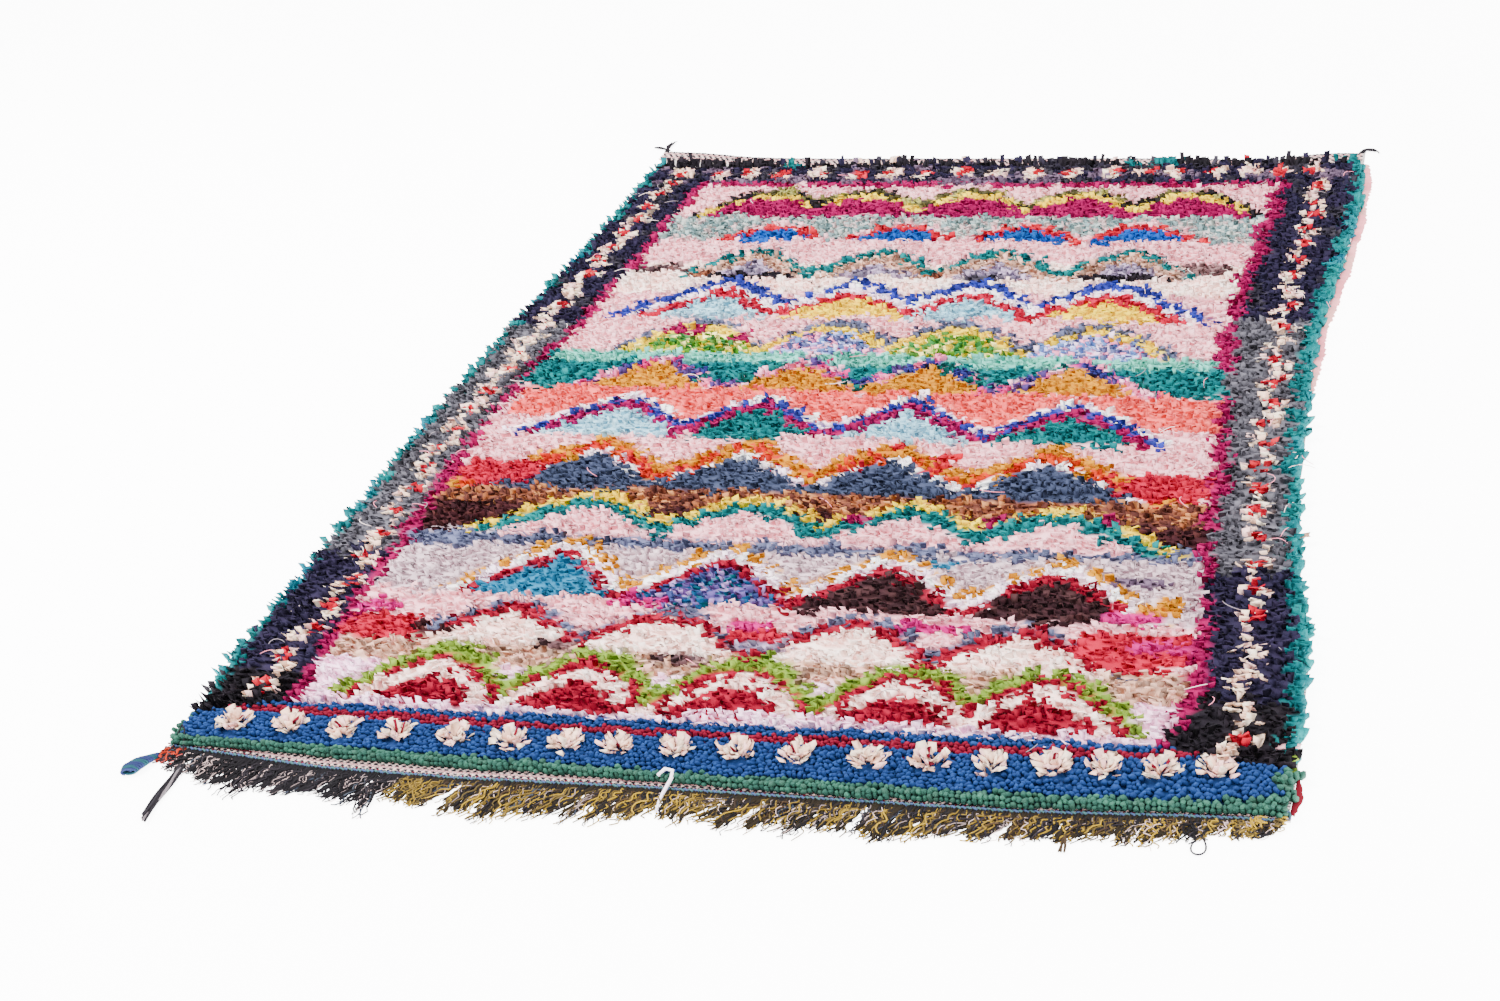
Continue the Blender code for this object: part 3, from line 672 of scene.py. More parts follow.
def rag_form(rng, broad=1.0, tip=1.0, fall=(0.55, 1.45)):
    """One torn strip's end: a flat, creased strip that stands up and falls over at its tip."""
    bm = bmesh.new()
    bmesh.ops.create_circle(bm, cap_ends=True, segments=4, radius=0.5)
    low = rng.uniform(0.05, 0.35)
    high = rng.uniform(*fall)
    bend = (0.50 * math.sin(low), 0.50 * math.cos(low))
    end = (bend[0] + 0.52 * math.sin(high), bend[1] + 0.52 * math.cos(high))
    base = bm.verts[:]
    face = bm.faces[:][0]
    rings = ((bend, broad, 0.30, (low + high) / 2), (end, broad * tip, 0.20, high))
    for (ahead, up), wide, thick, turn in rings:
        face = bmesh.ops.extrude_discrete_faces(bm, faces=[face])["faces"][0]
        for vert in face.verts:
            side = math.copysign(1, vert.co.x) if abs(vert.co.x) > 1e-4 else 0
            across = 0.0 if side else math.copysign(1, vert.co.y) if abs(vert.co.y) > 1e-5 else 0
            lift = across * thick / 2
            vert.co.x = side * wide / 2 + rng.uniform(-0.10, 0.10)
            vert.co.y = -ahead - lift * math.cos(turn) + rng.uniform(-0.05, 0.05)
            vert.co.z = up + lift * math.sin(turn) + rng.uniform(-0.07, 0.07)
    bmesh.ops.pointmerge(bm, verts=base, merge_co=(0, 0, 0))
    return template_of(bm)


def knot_form(rng):
    """One wool knot: a plump rounded tuft."""
    bm = bmesh.new()
    bmesh.ops.create_uvsphere(bm, u_segments=6, v_segments=4, radius=0.5)
    for vert in bm.verts:
        vert.co.x *= 1.0 + rng.uniform(-0.10, 0.10)
        vert.co.y *= 0.9 + rng.uniform(-0.10, 0.10)
        vert.co.z *= 1.5
        vert.co += Vector([rng.uniform(-0.04, 0.04) for _ in range(3)])
    return template_of(bm)


def turned(yaw, lean, roll):
    """Turns for many pieces: leaned over, then turned to face their way."""
    zero = np.zeros(len(yaw))
    one = np.ones(len(yaw))
    (cy, cl, cr), (sy, sl, sr) = np.cos((yaw, lean, roll)), np.sin((yaw, lean, roll))
    about_z = ((cy, -sy, zero), (sy, cy, zero), (zero, zero, one))
    about_x = ((one, zero, zero), (zero, cl, -sl), (zero, sl, cl))
    about_y = ((cr, zero, sr), (zero, one, zero), (-sr, zero, cr))
    z, x, y = (np.moveaxis(np.array(rows), -1, 0) for rows in (about_z, about_x, about_y))
    return z @ x @ y


def lay_down(name, forms, spots, turns, sizes, colours, material, rng, crumple):
    """Join many turned, sized and crumpled copies of a few forms into one coloured mesh."""
    which = rng.integers(0, len(forms), len(spots))
    all_points, all_faces, all_colours = [], [], []
    start = 0
    for number, (points, faces) in enumerate(forms):
        chosen = np.flatnonzero(which == number)
        if len(chosen) == 0:
            continue
        local = points[None, :, :] * sizes[chosen][:, None, :]
        placed = np.einsum("nij,nkj->nki", turns[chosen], local) + spots[chosen][:, None, :]
        placed += rng.normal(0.0, crumple, placed.shape)
        offsets = start + np.arange(len(chosen))[:, None, None] * len(points)
        all_points.append(placed.reshape(-1, 3))
        all_faces.append((faces[None, :, :] + offsets).reshape(-1, 3))
        all_colours.append(np.repeat(colours[chosen], len(points), axis=0))
        start += len(points) * len(chosen)
    points = np.concatenate(all_points)
    points[:, 2] = np.maximum(points[:, 2], 0.0006)
    return mesh_from(name, points, np.concatenate(all_faces), np.concatenate(all_colours), material)


def dye_mesh(mesh, colours):
    """Give a mesh its dye, a colour for each of its points."""
    dye = mesh.color_attributes.new("dye", "FLOAT_COLOR", "POINT")
    full = np.concatenate([colours, np.ones((len(colours), 1))], axis=1)
    dye.data.foreach_set("color", full.astype(np.float32).ravel())


def add_piece(name, mesh, material, smooth=True):
    """A piece of the rug's own body, with its material."""
    mesh.polygons.foreach_set("use_smooth", np.full(len(mesh.polygons), smooth))
    mesh.materials.append(material)
    item = add_object(name, mesh)
    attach(item, "root")
    return item


def new_verts(grown):
    """The points that an extrusion added."""
    return [part for part in grown["geom"] if isinstance(part, bmesh.types.BMVert)]


def mesh_from(name, points, faces, colours, material):
    """A piece from joined points and faces, with its dye as a colour attribute."""
    mesh = bpy.data.meshes.new(name)
    mesh.vertices.add(len(points))
    mesh.vertices.foreach_set("co", points.astype(np.float32).ravel())
    mesh.loops.add(faces.size)
    mesh.loops.foreach_set("vertex_index", faces.astype(np.int32).ravel())
    mesh.polygons.add(len(faces))
    starts = np.arange(len(faces)) * faces.shape[1]
    mesh.polygons.foreach_set("loop_start", starts.astype(np.int32))
    mesh.update(calc_edges=True)
    dye_mesh(mesh, colours)
    return add_piece(name, mesh, material)


def cloth_group():
    """Shared effect: fibre grain and small soft folds, as a colour factor and a height."""
    group = bpy.data.node_groups.new("cloth_grain", "ShaderNodeTree")
    for name, way in (("Fibre Scale", "INPUT"), ("Fold Scale", "INPUT"),
                      ("Shade", "OUTPUT"), ("Height", "OUTPUT")):
        group.interface.new_socket(name, in_out=way, socket_type="NodeSocketFloat")
    inside = group.nodes.new("NodeGroupInput")
    outside = group.nodes.new("NodeGroupOutput")
    where = add_node(group, "TexCoord")
    fibre = add_node(group, "TexNoise", Detail=3.0)
    fold = add_node(group, "TexNoise", Detail=2.0)
    shade = add_node(group, "MapRange", From_Min=0.3, From_Max=0.7, To_Min=0.86, To_Max=1.10)
    both = add_node(group, "Math", "MULTIPLY_ADD")
    both.inputs[1].default_value = 0.35
    wire(group, (where, "Object", fibre, "Vector"), (where, "Object", fold, "Vector"),
         (inside, "Fibre Scale", fibre, "Scale"), (inside, "Fold Scale", fold, "Scale"),
         (fibre, "Fac", shade, "Value"), (shade, "Result", outside, "Shade"),
         (fibre, "Fac", both, 0), (fold, "Fac", both, 2), (both, "Value", outside, "Height"))
    return group


GRAIN = cloth_group()


def dyed_material(name, fibre, fold, depth):
    """A material that takes its colour from the dye attribute, with grain and folds."""
    material, tree, shader = new_material(name, Roughness=0.96, Specular_IOR_Level=0.1)
    dye = add_node(tree, "Attribute")
    dye.attribute_name = "dye"
    grain = add_node(tree, "Group")
    grain.node_tree = GRAIN
    set_inputs(grain, Fibre_Scale=fibre, Fold_Scale=fold)
    tint = add_node(tree, "VectorMath", "SCALE")
    bump = add_node(tree, "Bump", Strength=0.6, Distance=depth)
    wire(tree, (dye, "Color", tint, 0), (grain, "Shade", tint, "Scale"),
         (tint, "Vector", shader, "Base Color"),
         (grain, "Height", bump, "Height"), (bump, "Normal", shader, "Normal"))
    return material


def lean_of(x, y, rng, swing):
    """Which way each tuft falls: towards the near end, and outwards close to an edge."""
    left, right, near, far = edge_room(x, y)
    reach = 0.022
    out_x = np.clip(1 - right / reach, 0, 1) - np.clip(1 - left / reach, 0, 1)
    out_y = np.clip(1 - far / reach, 0, 1) - np.clip(1 - near / reach, 0, 1)
    way_x = 0.20 * out_x + swing * rng.standard_normal(len(x))
    way_y = -0.9 + 3.0 * out_y + swing * rng.standard_normal(len(x))
    return np.arctan2(way_x, -way_y)


def knot_places(pitch, row, jitter, rng):
    """Uneven rows of knots over the whole pile, each row half a pitch along from the last."""
    xs = np.arange(GRID_X[0], GRID_X[-1], pitch)
    ys = np.arange(GRID_Y[0], GRID_Y[-1], row)
    x, y = np.meshgrid(xs, ys)
    x = (x + (np.arange(len(ys)) % 2)[:, None] * pitch / 2).ravel()
    y = y.ravel()
    return x + rng.normal(0, jitter, x.size), y + rng.normal(0, jitter, y.size)


def on_pile(x, y, margin=0.003):
    """Which places are on the pile."""
    left, right, near, far = edge_room(x, y)
    return (np.minimum(left, right) > margin) & (near > margin) & (far > margin)


def in_wool(x, y):
    """Which places belong to the near wool band."""
    u, v = chart(x, y)
    return v < column_of(WOOL_LEVELS, "u", "wool_top", u)


def make_rag_pile(material):
    """The rag pile, in four joined meshes from the near end to the far end."""
    rng = np.random.default_rng(5)
    forms = [rag_form(rng, 1.0, rng.uniform(0.75, 1.2), (0.05, 0.80)) for _ in range(16)]
    knot_x, knot_y = knot_places(RAG_PITCH, RAG_ROW, 0.0014, rng)
    knot_y += 0.003 * soft_noise(knot_x, knot_y, 0.30, 9)
    knot_top = height_at(knot_x, knot_y)
    u, v = chart(knot_x, knot_y - 0.15 * RAG_LONG, knot_top)
    left, right, near, far = edge_room(knot_x, knot_y)
    knot_kinds = cloth_at(u, v, left, right, CLOTH_SEED)
    knot_yaw = lean_of(knot_x, knot_y, rng, 0.14)
    knot_lean = rng.normal(0.12, 0.09, len(knot_x))
    knot_rise = rng.normal(0.0, 0.0008, len(knot_x))
    knot = np.repeat(np.arange(len(knot_x)), len(LEAVES))
    side, back = np.array(LEAVES * len(knot_x)).T
    x = knot_x[knot] + side * RAG_PITCH / 3 + rng.normal(0, 0.0010, len(knot))
    y = knot_y[knot] + back * RAG_ROW / 4 + rng.normal(0, 0.0022, len(knot))
    keep = on_pile(x, y) & ~in_wool(x, y)
    knot, side, x, y = knot[keep], side[keep], x[keep], y[keep]
    left, right, near, far = edge_room(x, y)
    room = np.minimum(left, right)
    top = height_at(x, y) + knot_rise[knot]
    long = RAG_LONG * rng.uniform(0.88, 1.12, len(x))
    rim = np.clip(1 - room / RIM_REACH, 0, 1)
    calm = 1 - 0.75 * rim
    yaw = knot_yaw[knot] + (0.14 * side + rng.normal(0, 0.15, len(x))) * calm
    lean = knot_lean[knot] + rng.normal(0, 0.10, len(x)) * calm
    roll = (-0.08 * side + rng.normal(0.0, 0.09, len(x))) * calm
    wide = RAG_WIDE * rng.uniform(0.8, 1.2, len(x))
    kinds = knot_kinds[knot]
    own_u = u[knot] + x - knot_x[knot]
    zigzag = np.full(len(kinds), -1)
    paint_zigzags(own_u, v[knot], zigzag)
    border = (own_u < BORDER_LEFT) | (own_u > BORDER_RIGHT)
    border &= (left > LEFT_TEAL) & (right > EDGE_TEAL)
    kinds = np.where(border & (zigzag >= 0), zigzag, kinds)
    colours = shade_of(kinds, rng, 0.035, knot)
    spots = np.stack([x, y, np.maximum(top - 0.92 * long, 0.001)], axis=1)
    sizes = np.stack([wide, long, long], axis=1)
    bloom = np.isin(kinds, [KIND["petal"], KIND["coral"]])
    sizes[bloom] *= BLOOM_SIZES
    sizes *= 1 + rim[:, None] * RIM_SIZES
    inward = np.clip(0.55 * sizes[:, 0] + rng.normal(0, 0.0016, len(x)) - room, 0, 0.008)
    spots[:, 0] += np.where(left < right, inward, -inward)
    tall = (far < 0.022) & (rng.random(len(x)) < 0.16)
    sizes[tall] *= TALL_SIZES
    turns = turned(yaw, lean, roll)
    cuts = np.linspace(y.min() - 1e-6, y.max() + 1e-6, 5)
    for part in range(4):
        here = (y >= cuts[part]) & (y < cuts[part + 1])
        item = lay_down(f"rag_pile_{part + 1}", forms, spots[here], turns[here], sizes[here],
                        colours[here], material, rng, 0.0005)
        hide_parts("rug")


def rosette_places():
    """Where the near border's flowers stand in the frame."""
    spots = []
    for u in NEAR_FLOWERS:
        v = float(column_of(WOOL_LEVELS, "u", "flower", u))
        spots.append(place(u, v, 0.024))
    return np.array(spots)


def under_rosette(x, y):
    """Which knots' places a flower takes up."""
    spots = rosette_places()
    across = (x[:, None] - spots[None, :, 0]) / 0.018
    along = (y[:, None] - spots[None, :, 1] + 0.005) / 0.020
    return (across ** 2 + along ** 2).min(axis=1) < 1


def make_wool_pile(material):
    """The near band of plump wool knots, and the knots that face the near end's wall."""
    rng = np.random.default_rng(8)
    forms = [knot_form(rng) for _ in range(8)]
    x, y = knot_places(KNOT_PITCH, KNOT_PITCH, 0.0009, rng)
    keep = on_pile(x, y) & in_wool(x, y) & ~under_rosette(x, y)
    x, y = x[keep], y[keep]
    swell = np.clip((x - CHART_X - SWELL_FROM) / SWELL_OVER, 0, 1)
    stays = rng.random(len(x)) > 0.12 * swell
    x, y, swell = x[stays], y[stays], swell[stays]
    size = KNOT_SIZE * rng.uniform(0.85, 1.15, len(x)) * (1 + 0.16 * swell)
    z = height_at(x, y) - 0.45 * size
    for level, ahead in WALL_ROWS:
        row = np.arange(SPAN_X[0], SPAN_X[1], KNOT_PITCH) + rng.normal(0, 0.0012)
        front = np.interp(row, GRID_X, SPAN_NEAR) + ahead
        x = np.append(x, row)
        y = np.append(y, front + rng.normal(0, 0.0008, len(row)))
        z = np.append(z, np.full(len(row), level))
        size = np.append(size, KNOT_SIZE * rng.uniform(0.85, 1.15, len(row)))
    left, right, near, far = edge_room(x, y)
    u, v = chart(x, y, z)
    kinds = wool_at(u, v, left, right)
    kinds[near < 0.004] = KIND["wool_green"]
    colours = shade_of(kinds, rng, 0.10)
    yaw = lean_of(x, y, rng, 0.3)
    lean = rng.normal(0.75, 0.18, len(x))
    size = size * np.where(kinds == KIND["wool_green"], 1.10, 0.96)
    sizes = np.stack([0.86 * size, 0.90 * size, 1.65 * size], axis=1)
    item = lay_down("wool_pile", forms, np.stack([x, y, z], axis=1),
                    turned(yaw, lean, np.zeros(len(x))), sizes, colours, material, rng, 0.0003)
    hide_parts("rug")


def make_bed(material):
    """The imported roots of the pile, dyed like the tufts that stand in them."""
    rng = np.random.default_rng(3)
    xs = np.arange(GRID_X[0], GRID_X[-1] + BED_STEP, BED_STEP)
    ys = np.arange(GRID_Y[0], GRID_Y[-1] + BED_STEP, BED_STEP)
    x, y = np.meshgrid(xs, ys)
    number = np.arange(x.size).reshape(x.shape)
    x, y = x.ravel(), y.ravel()
    left, right, near, far = edge_room(x, y)
    x = x + np.clip(-left, 0, BED_STEP) - np.clip(-right, 0, BED_STEP)
    y = y + np.clip(-near, 0, BED_STEP) - np.clip(-far, 0, BED_STEP)
    left, right, near, far = edge_room(x, y)
    inside = on_pile(x, y, -0.001)
    u, v = chart(x, y)
    kinds = np.where(in_wool(x, y), wool_at(u, v, left, right),
                     cloth_at(u, v, left, right, CLOTH_SEED))
    colours = shade_of(kinds, rng, 0.03)
    z = np.maximum(height_at(x, y) - BED_DROP + rng.normal(0, 0.0012, len(x)), BED_LEAST)
    points = np.stack([x, y, z], axis=1)
    quads = np.stack([number[:-1, :-1], number[:-1, 1:], number[1:, 1:], number[1:, :-1]], -1)
    quads = quads.reshape(-1, 4)
    quads = quads[inside[quads].all(axis=1)]
    used, quads = np.unique(quads, return_inverse=True)
    item = mesh_from("pile_roots", points[used], quads.reshape(-1, 4), colours[used], material)
    bm = bmesh.new()
    bm.from_mesh(item.data)
    rim = [edge for edge in bm.edges if edge.is_boundary]
    for vert in new_verts(bmesh.ops.extrude_edge_only(bm, edges=rim)):
        vert.co.z = BED_FOOT
    bmesh.ops.holes_fill(bm, edges=[edge for edge in bm.edges if edge.is_boundary], sides=0)
    bmesh.ops.recalc_face_normals(bm, faces=bm.faces[:])
    bm.to_mesh(item.data)
    bm.free()
    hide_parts("rug")


Ring = namedtuple("Ring", "count away lean long wide low cloth")
ROSETTE = (
    Ring(11, 0.0120, 0.42, 0.0185, 0.0105, 0.0060, "petal"),
    Ring(8, 0.0075, 0.24, 0.0190, 0.0105, 0.0050, "petal"),
    Ring(5, 0.0030, 0.06, 0.0195, 0.0095, 0.0045, "petal"),
    Ring(2, 0.0020, 0.00, 0.0225, 0.0045, 0.0040, "wool_red"),
)


def make_near_flowers(material):
    """Cream rag rosettes with dark red hearts, knotted into the wool band."""
    rng = np.random.default_rng(17)
    forms = [rag_form(rng, 1.0, rng.uniform(0.7, 1.15), (0.20, 1.00)) for _ in range(12)]
    spots, yaws, leans, sizes, kinds = [], [], [], [], []
    for x, y in rosette_places():
        ground = float(height_at(np.array([x]), np.array([y]))[0])
        swell = 0.92 + 0.14 * rng.random()
        for ring in ROSETTE:
            start = rng.uniform(0, 6.28)
            for k in range(ring.count if ring.cloth == "petal" else rng.integers(0, 3)):
                angle = start + 2 * math.pi * k / ring.count + rng.normal(0, 0.18)
                reach = ring.away * rng.uniform(0.6, 1.35)
                spots.append((x + reach * math.sin(angle) * swell,
                              y - reach * math.cos(angle) * swell * 1.15,
                              max(ground - 0.0105 + ring.low + rng.normal(0, 0.001), 0.001)))
                yaws.append(angle)
                leans.append(ring.lean + rng.normal(0, 0.12))
                size = swell * rng.uniform(0.80, 1.18)
                sizes.append((ring.wide * size, ring.long * size, ring.long * size))
                kinds.append(KIND[ring.cloth])
    # The rosettes' dyes are tinted pinker, the cloth's own tint, and darkened as painted shade
    # against the strong light on their upturned leaves.
    colours = np.array([0.90, 0.84, 0.84]) * shade_of(np.array(kinds), rng, 0.08)
    turns = turned(np.array(yaws), np.array(leans), rng.normal(0, 0.25, len(yaws)))
    item = lay_down("near_rosettes", forms, np.array(spots), turns, np.array(sizes), colours,
                    material, rng, 0.0012)
    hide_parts("rug")


def rug_outline():
    """The rug's outline on the floor, as the flat underside of its solid."""
    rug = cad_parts["rug"].data
    bm = bmesh.new()
    corner = {}
    for polygon in rug.polygons:
        spots = [rug.vertices[k].co for k in polygon.vertices]
        if max(spot.z for spot in spots) > 1e-5:
            continue
        keys = [(round(spot.x, 5), round(spot.y, 5)) for spot in spots]
        for key, spot in zip(keys, spots):
            if key not in corner:
                corner[key] = bm.verts.new((spot.x, spot.y, 0.0))
        if len(set(keys)) == 3:
            bm.faces.new([corner[key] for key in keys])
    return bm


def make_ground_weave(material):
    """The flat-woven ground that the pile is tied to: one thin sheet to the rug's outline."""
    bm = rug_outline()
    bmesh.ops.dissolve_limit(bm, angle_limit=0.001, verts=bm.verts[:], edges=bm.edges[:])
    for vert in new_verts(bmesh.ops.extrude_face_region(bm, geom=bm.faces[:], use_keep_orig=True)):
        vert.co.z = WEAVE_HIGH
    bmesh.ops.recalc_face_normals(bm, faces=bm.faces[:])
    area = sum(face.calc_area() for face in bm.faces if face.normal.z > 0.9)
    bmesh.ops.triangulate(bm, faces=bm.faces[:])
    item = add_piece("ground_weave", mesh_of(bm, "ground_weave"), material, smooth=False)
    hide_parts("rug")


def weave_material(name):
    """Undyed cotton weave: warp ribs crossed by packed weft rows."""
    material, tree, shader = new_material(name, Roughness=0.95)
    where = add_node(tree, "TexCoord")
    rows = add_node(tree, "TexWave", Scale=46.0, Distortion=1.2, Detail_Scale=8.0)
    rows.bands_direction = "Y"
    ribs = add_node(tree, "TexWave", Scale=40.0, Distortion=0.8)
    ribs.bands_direction = "X"
    ramp = add_node(tree, "ValToRGB")
    stops = ((0.30, (0.10, 0.085, 0.09, 1)), (0.62, (0.66, 0.58, 0.56, 1)))
    for stop, (position, colour) in zip(ramp.color_ramp.elements, stops):
        stop.position = position
        stop.color = colour
    both = add_node(tree, "Math", "MULTIPLY")
    blend = add_node(tree, "Math", "MULTIPLY_ADD")
    blend.inputs[1].default_value = 0.6
    bump = add_node(tree, "Bump", Strength=0.8, Distance=0.0012)
    wire(tree, (where, "Object", rows, "Vector"), (where, "Object", ribs, "Vector"),
         (rows, "Fac", both, 0), (ribs, "Fac", both, 1),
         (both, "Value", blend, 0), (rows, "Fac", blend, 2),
         (blend, "Value", ramp, "Fac"), (ramp, "Color", shader, "Base Color"),
         (blend, "Value", bump, "Height"), (bump, "Normal", shader, "Normal"))
    return material


def yarn_piece(name, routes, thicks, colours, material, sides=4, taper=0.7):
    """Many yarns as round tubes along their routes, joined into one dyed mesh."""
    data = bpy.data.curves.new(name + "_route", "CURVE")
    data.dimensions = "3D"
    data.bevel_depth = 1.0
    data.bevel_resolution = {4: 0, 6: 1}[sides]
    data.use_fill_caps = True
    along, ends = [], []
    for route, thick, colour in zip(routes, thicks, colours):
        widths = np.broadcast_to(thick, len(route))
        spline = data.splines.new("POLY")
        spline.points.add(len(route) - 1)
        for k, (point, spot) in enumerate(zip(spline.points, route)):
            point.co = (*spot, 1.0)
            share = k / (len(route) - 1)
            point.radius = widths[k] / 2 * (1 - (1 - taper) * max(share - 0.7, 0) / 0.3)
        tints = np.broadcast_to(colour, (len(route), 3))
        along.append(tints)
        ends.append(tints[[-1, 0]])
    holder = add_object(name + "_route", data)
    solid = holder.evaluated_get(bpy.context.evaluated_depsgraph_get())
    mesh = bpy.data.meshes.new_from_object(solid)
    bpy.data.objects.remove(holder, do_unlink=True)
    mesh.name = name
    # A filled curve lists its caps before its tubes, the last yarn's first.
    rings = np.concatenate(ends[::-1] + along)
    dye_mesh(mesh, np.repeat(rings, len(mesh.vertices) // len(rings), axis=0))
    bm = bmesh.new()
    bm.from_mesh(mesh)
    bmesh.ops.remove_doubles(bm, verts=bm.verts[:], dist=0.00001)
    bmesh.ops.recalc_face_normals(bm, faces=bm.faces[:])
    bm.to_mesh(mesh)
    bm.free()
    mesh.materials.clear()
    return add_piece(name, mesh, material)


def braid_middle(x):
    """Where the twined edge runs, from the solid braid's own box and the slab's near rim."""
    return np.interp(x, RIM_X, RIM_Y) - BRAID_END_GAP - BRAID_WIDE / 2


def make_braid(material):
    """The twined edge: two wool yarns, one green and one blue, turned round each other."""
    low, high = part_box("edge_braid")
    xs = np.linspace(low[0] + 0.001, high[0] - 0.001, int((high[0] - low[0]) / 0.0022))
    routes = []
    for start in (0.0, math.pi):
        turn = start + (xs - low[0]) * 2 * math.pi / BRAID_TURN
        ys = braid_middle(xs) + 0.0017 * np.cos(turn)
        zs = 0.0036 + 0.0016 * np.sin(turn)
        routes.append(list(zip(xs, ys, zs)))
    colours = [dye_of((60, 92, 96)), dye_of((62, 78, 112))]
    item = yarn_piece("twined_edge", routes, [0.0037, 0.0037], colours, material, 6, 1.0)
    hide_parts("edge_braid")


FRINGE_DYES = {
    "black": ((26, 24, 27), (19, 17, 20), (35, 31, 36)),
    "white": ((198, 170, 166), (140, 122, 122)),
    "mustard": ((114, 91, 34), (90, 72, 33), (143, 115, 34), (76, 63, 36)),
    "brown": ((61, 46, 32), (48, 36, 28)),
    "flame": ((165, 44, 22), (155, 60, 56)),
    "slate": ((53, 58, 67), (45, 51, 63)),
}
Yarns = namedtuple("Yarns", "stop black white mustard brown flame slate")
FRINGE_MIX = (
    Yarns(0.050, 0.30, 0.10, 0.00, 0.00, 0.50, 0.10),
    Yarns(0.375, 0.70, 0.28, 0.00, 0.00, 0.00, 0.02),
    Yarns(0.400, 0.55, 0.15, 0.25, 0.05, 0.00, 0.00),
    Yarns(0.700, 0.20, 0.14, 0.58, 0.06, 0.00, 0.02),
    Yarns(1.150, 0.28, 0.14, 0.46, 0.10, 0.00, 0.02),
    Yarns(1.600, 0.30, 0.15, 0.40, 0.13, 0.00, 0.02),
)
FRINGE_FROM = 0.014
FRINGE_TO = 1.532
RUG_ACROSS = 1.545
REACH_SHIFT = 0.022
FLAME_TO = 0.045
BLACK_TO = 0.385
HANKS = 130
OVER_CURLS = ((0.001, 0.0065), (0.0022, 0.0056), (13, 26))
# Stout under yarns: their yarns' own hues, darkened far below those yarns' dyes as painted shade
# for lying under the thin ones.
UNDER_DYES_AND_SHADE = {"black": (20, 18, 21), "mustard": (32, 26, 18), "flame": (90, 34, 28)}
Reach = namedtuple("Reach", "u length")
FRINGE_REACH = (
    Reach(0.000, 0.034), Reach(0.050, 0.052), Reach(0.120, 0.072), Reach(0.229, 0.066),
    Reach(0.282, 0.060), Reach(0.338, 0.086), Reach(0.364, 0.064), Reach(0.398, 0.066),
    Reach(0.450, 0.074), Reach(0.523, 0.077), Reach(0.635, 0.079), Reach(0.736, 0.060),
    Reach(0.849, 0.077), Reach(0.951, 0.070), Reach(1.077, 0.070), Reach(1.197, 0.058),
    Reach(1.273, 0.066), Reach(1.359, 0.050), Reach(1.434, 0.036), Reach(1.540, 0.036),
)


def kinked(x, y, long, way, rise, curl, pace, phase, steps, low):
    """The route of one loose yarn from the twined edge, curling as it lies on the floor."""
    route = []
    for step in range(steps):
        share = step / (steps - 1)
        out = long * share
        wave = phase + pace * share
        sway = curl * math.sin(wave) * min(1.0, share * 3)
        hump = math.sin(math.pi * min(share * 1.05 + 0.04, 1.0))
        px = x + out * math.sin(way * (0.4 + 0.6 * share)) + sway
        py = y - out * math.cos(way * share) + 0.5 * curl * math.cos(phase + pace * share * 1.3)
        twist = abs(math.sin(2 * phase + 0.7 * pace * share))
        route.append((px, py, max(low + rise * hump + 0.4 * curl * twist * hump, low)))
    return route


def make_fringe(material):
    """Loose plied warp ends in curly hanks along the near end, thin ones over stout ones."""
    rng = np.random.default_rng(23)
    low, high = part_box("near_fringe")
    routes, thicks, colours = [], [], []
    names = list(FRINGE_DYES)
    hank_way = rng.normal(-0.40, 0.15, HANKS + 1)
    hank_long = rng.normal(1.0, 0.09, HANKS + 1)
    hank_phase = rng.uniform(0, 6.28, HANKS + 1)
    for under, count, thick, steps in ((True, 720, 0.0054, 6), (False, 1130, YARN_THICK, 18)):
        for k in range(count):
            u = FRINGE_FROM + (FRINGE_TO - FRINGE_FROM) * (k + rng.uniform(-0.9, 0.9)) / count
            hank = min(max(int(u / RUG_ACROSS * HANKS), 0), HANKS)
            x = min(max(CHART_X + u, low[0] + 0.002), high[0] - 0.002)
            long = float(column_of(FRINGE_REACH, "u", "length", u - REACH_SHIFT)) * hank_long[hank]
            if under:
                if u < FLAME_TO and rng.random() < 0.6:
                    dark = "flame"
                else:
                    dark = "black" if u < BLACK_TO or rng.random() < 0.30 else "mustard"
                # The under yarn's colour is its dye darkened with painted shade.
                colours.append(dye_of(UNDER_DYES_AND_SHADE[dark]))
                long *= rng.uniform(0.68, 0.92)
                way = hank_way[hank] + rng.normal(0, 0.06)
                rise, curl, pace = rng.uniform(0, 0.002), 0.0024, rng.uniform(5, 9)
                stout = rng.uniform(0.85, 1.15)
            else:
                mix = next(row for row in FRINGE_MIX if u < row.stop)
                weights = np.array([getattr(mix, name) for name in names])
                name = names[rng.choice(len(names), p=weights / weights.sum())]
                shades = FRINGE_DYES[name]
                shade = shades[rng.integers(len(shades))]
                colours.append(dye_of(shade) * rng.uniform(0.85, 1.15))
                long *= rng.uniform(0.88, 1.06)
                way = hank_way[hank] + rng.normal(0, 0.11)
                rise, curl, pace = (rng.uniform(*ends) for ends in OVER_CURLS)
                stout = rng.uniform(0.85, 1.25)
                if name == "white":
                    rise, stout = rng.uniform(0.0035, 0.0068), 0.54
            y = float(braid_middle(x)) - 0.002
            phase = hank_phase[hank] + rng.normal(0, 0.9)
            floor = thick * stout / 2 + 0.0004
            routes.append(kinked(x, y, long, way, rise, curl, pace, phase, steps, floor))
            thicks.append(thick * stout)
    item = yarn_piece("warp_fringe", routes, thicks, colours, material, 4, 0.75)
    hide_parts("near_fringe")


def stitch_form():
    """One small stitch of thick yarn."""
    bm = bmesh.new()
    bmesh.ops.create_uvsphere(bm, u_segments=5, v_segments=3, radius=0.5)
    return template_of(bm)


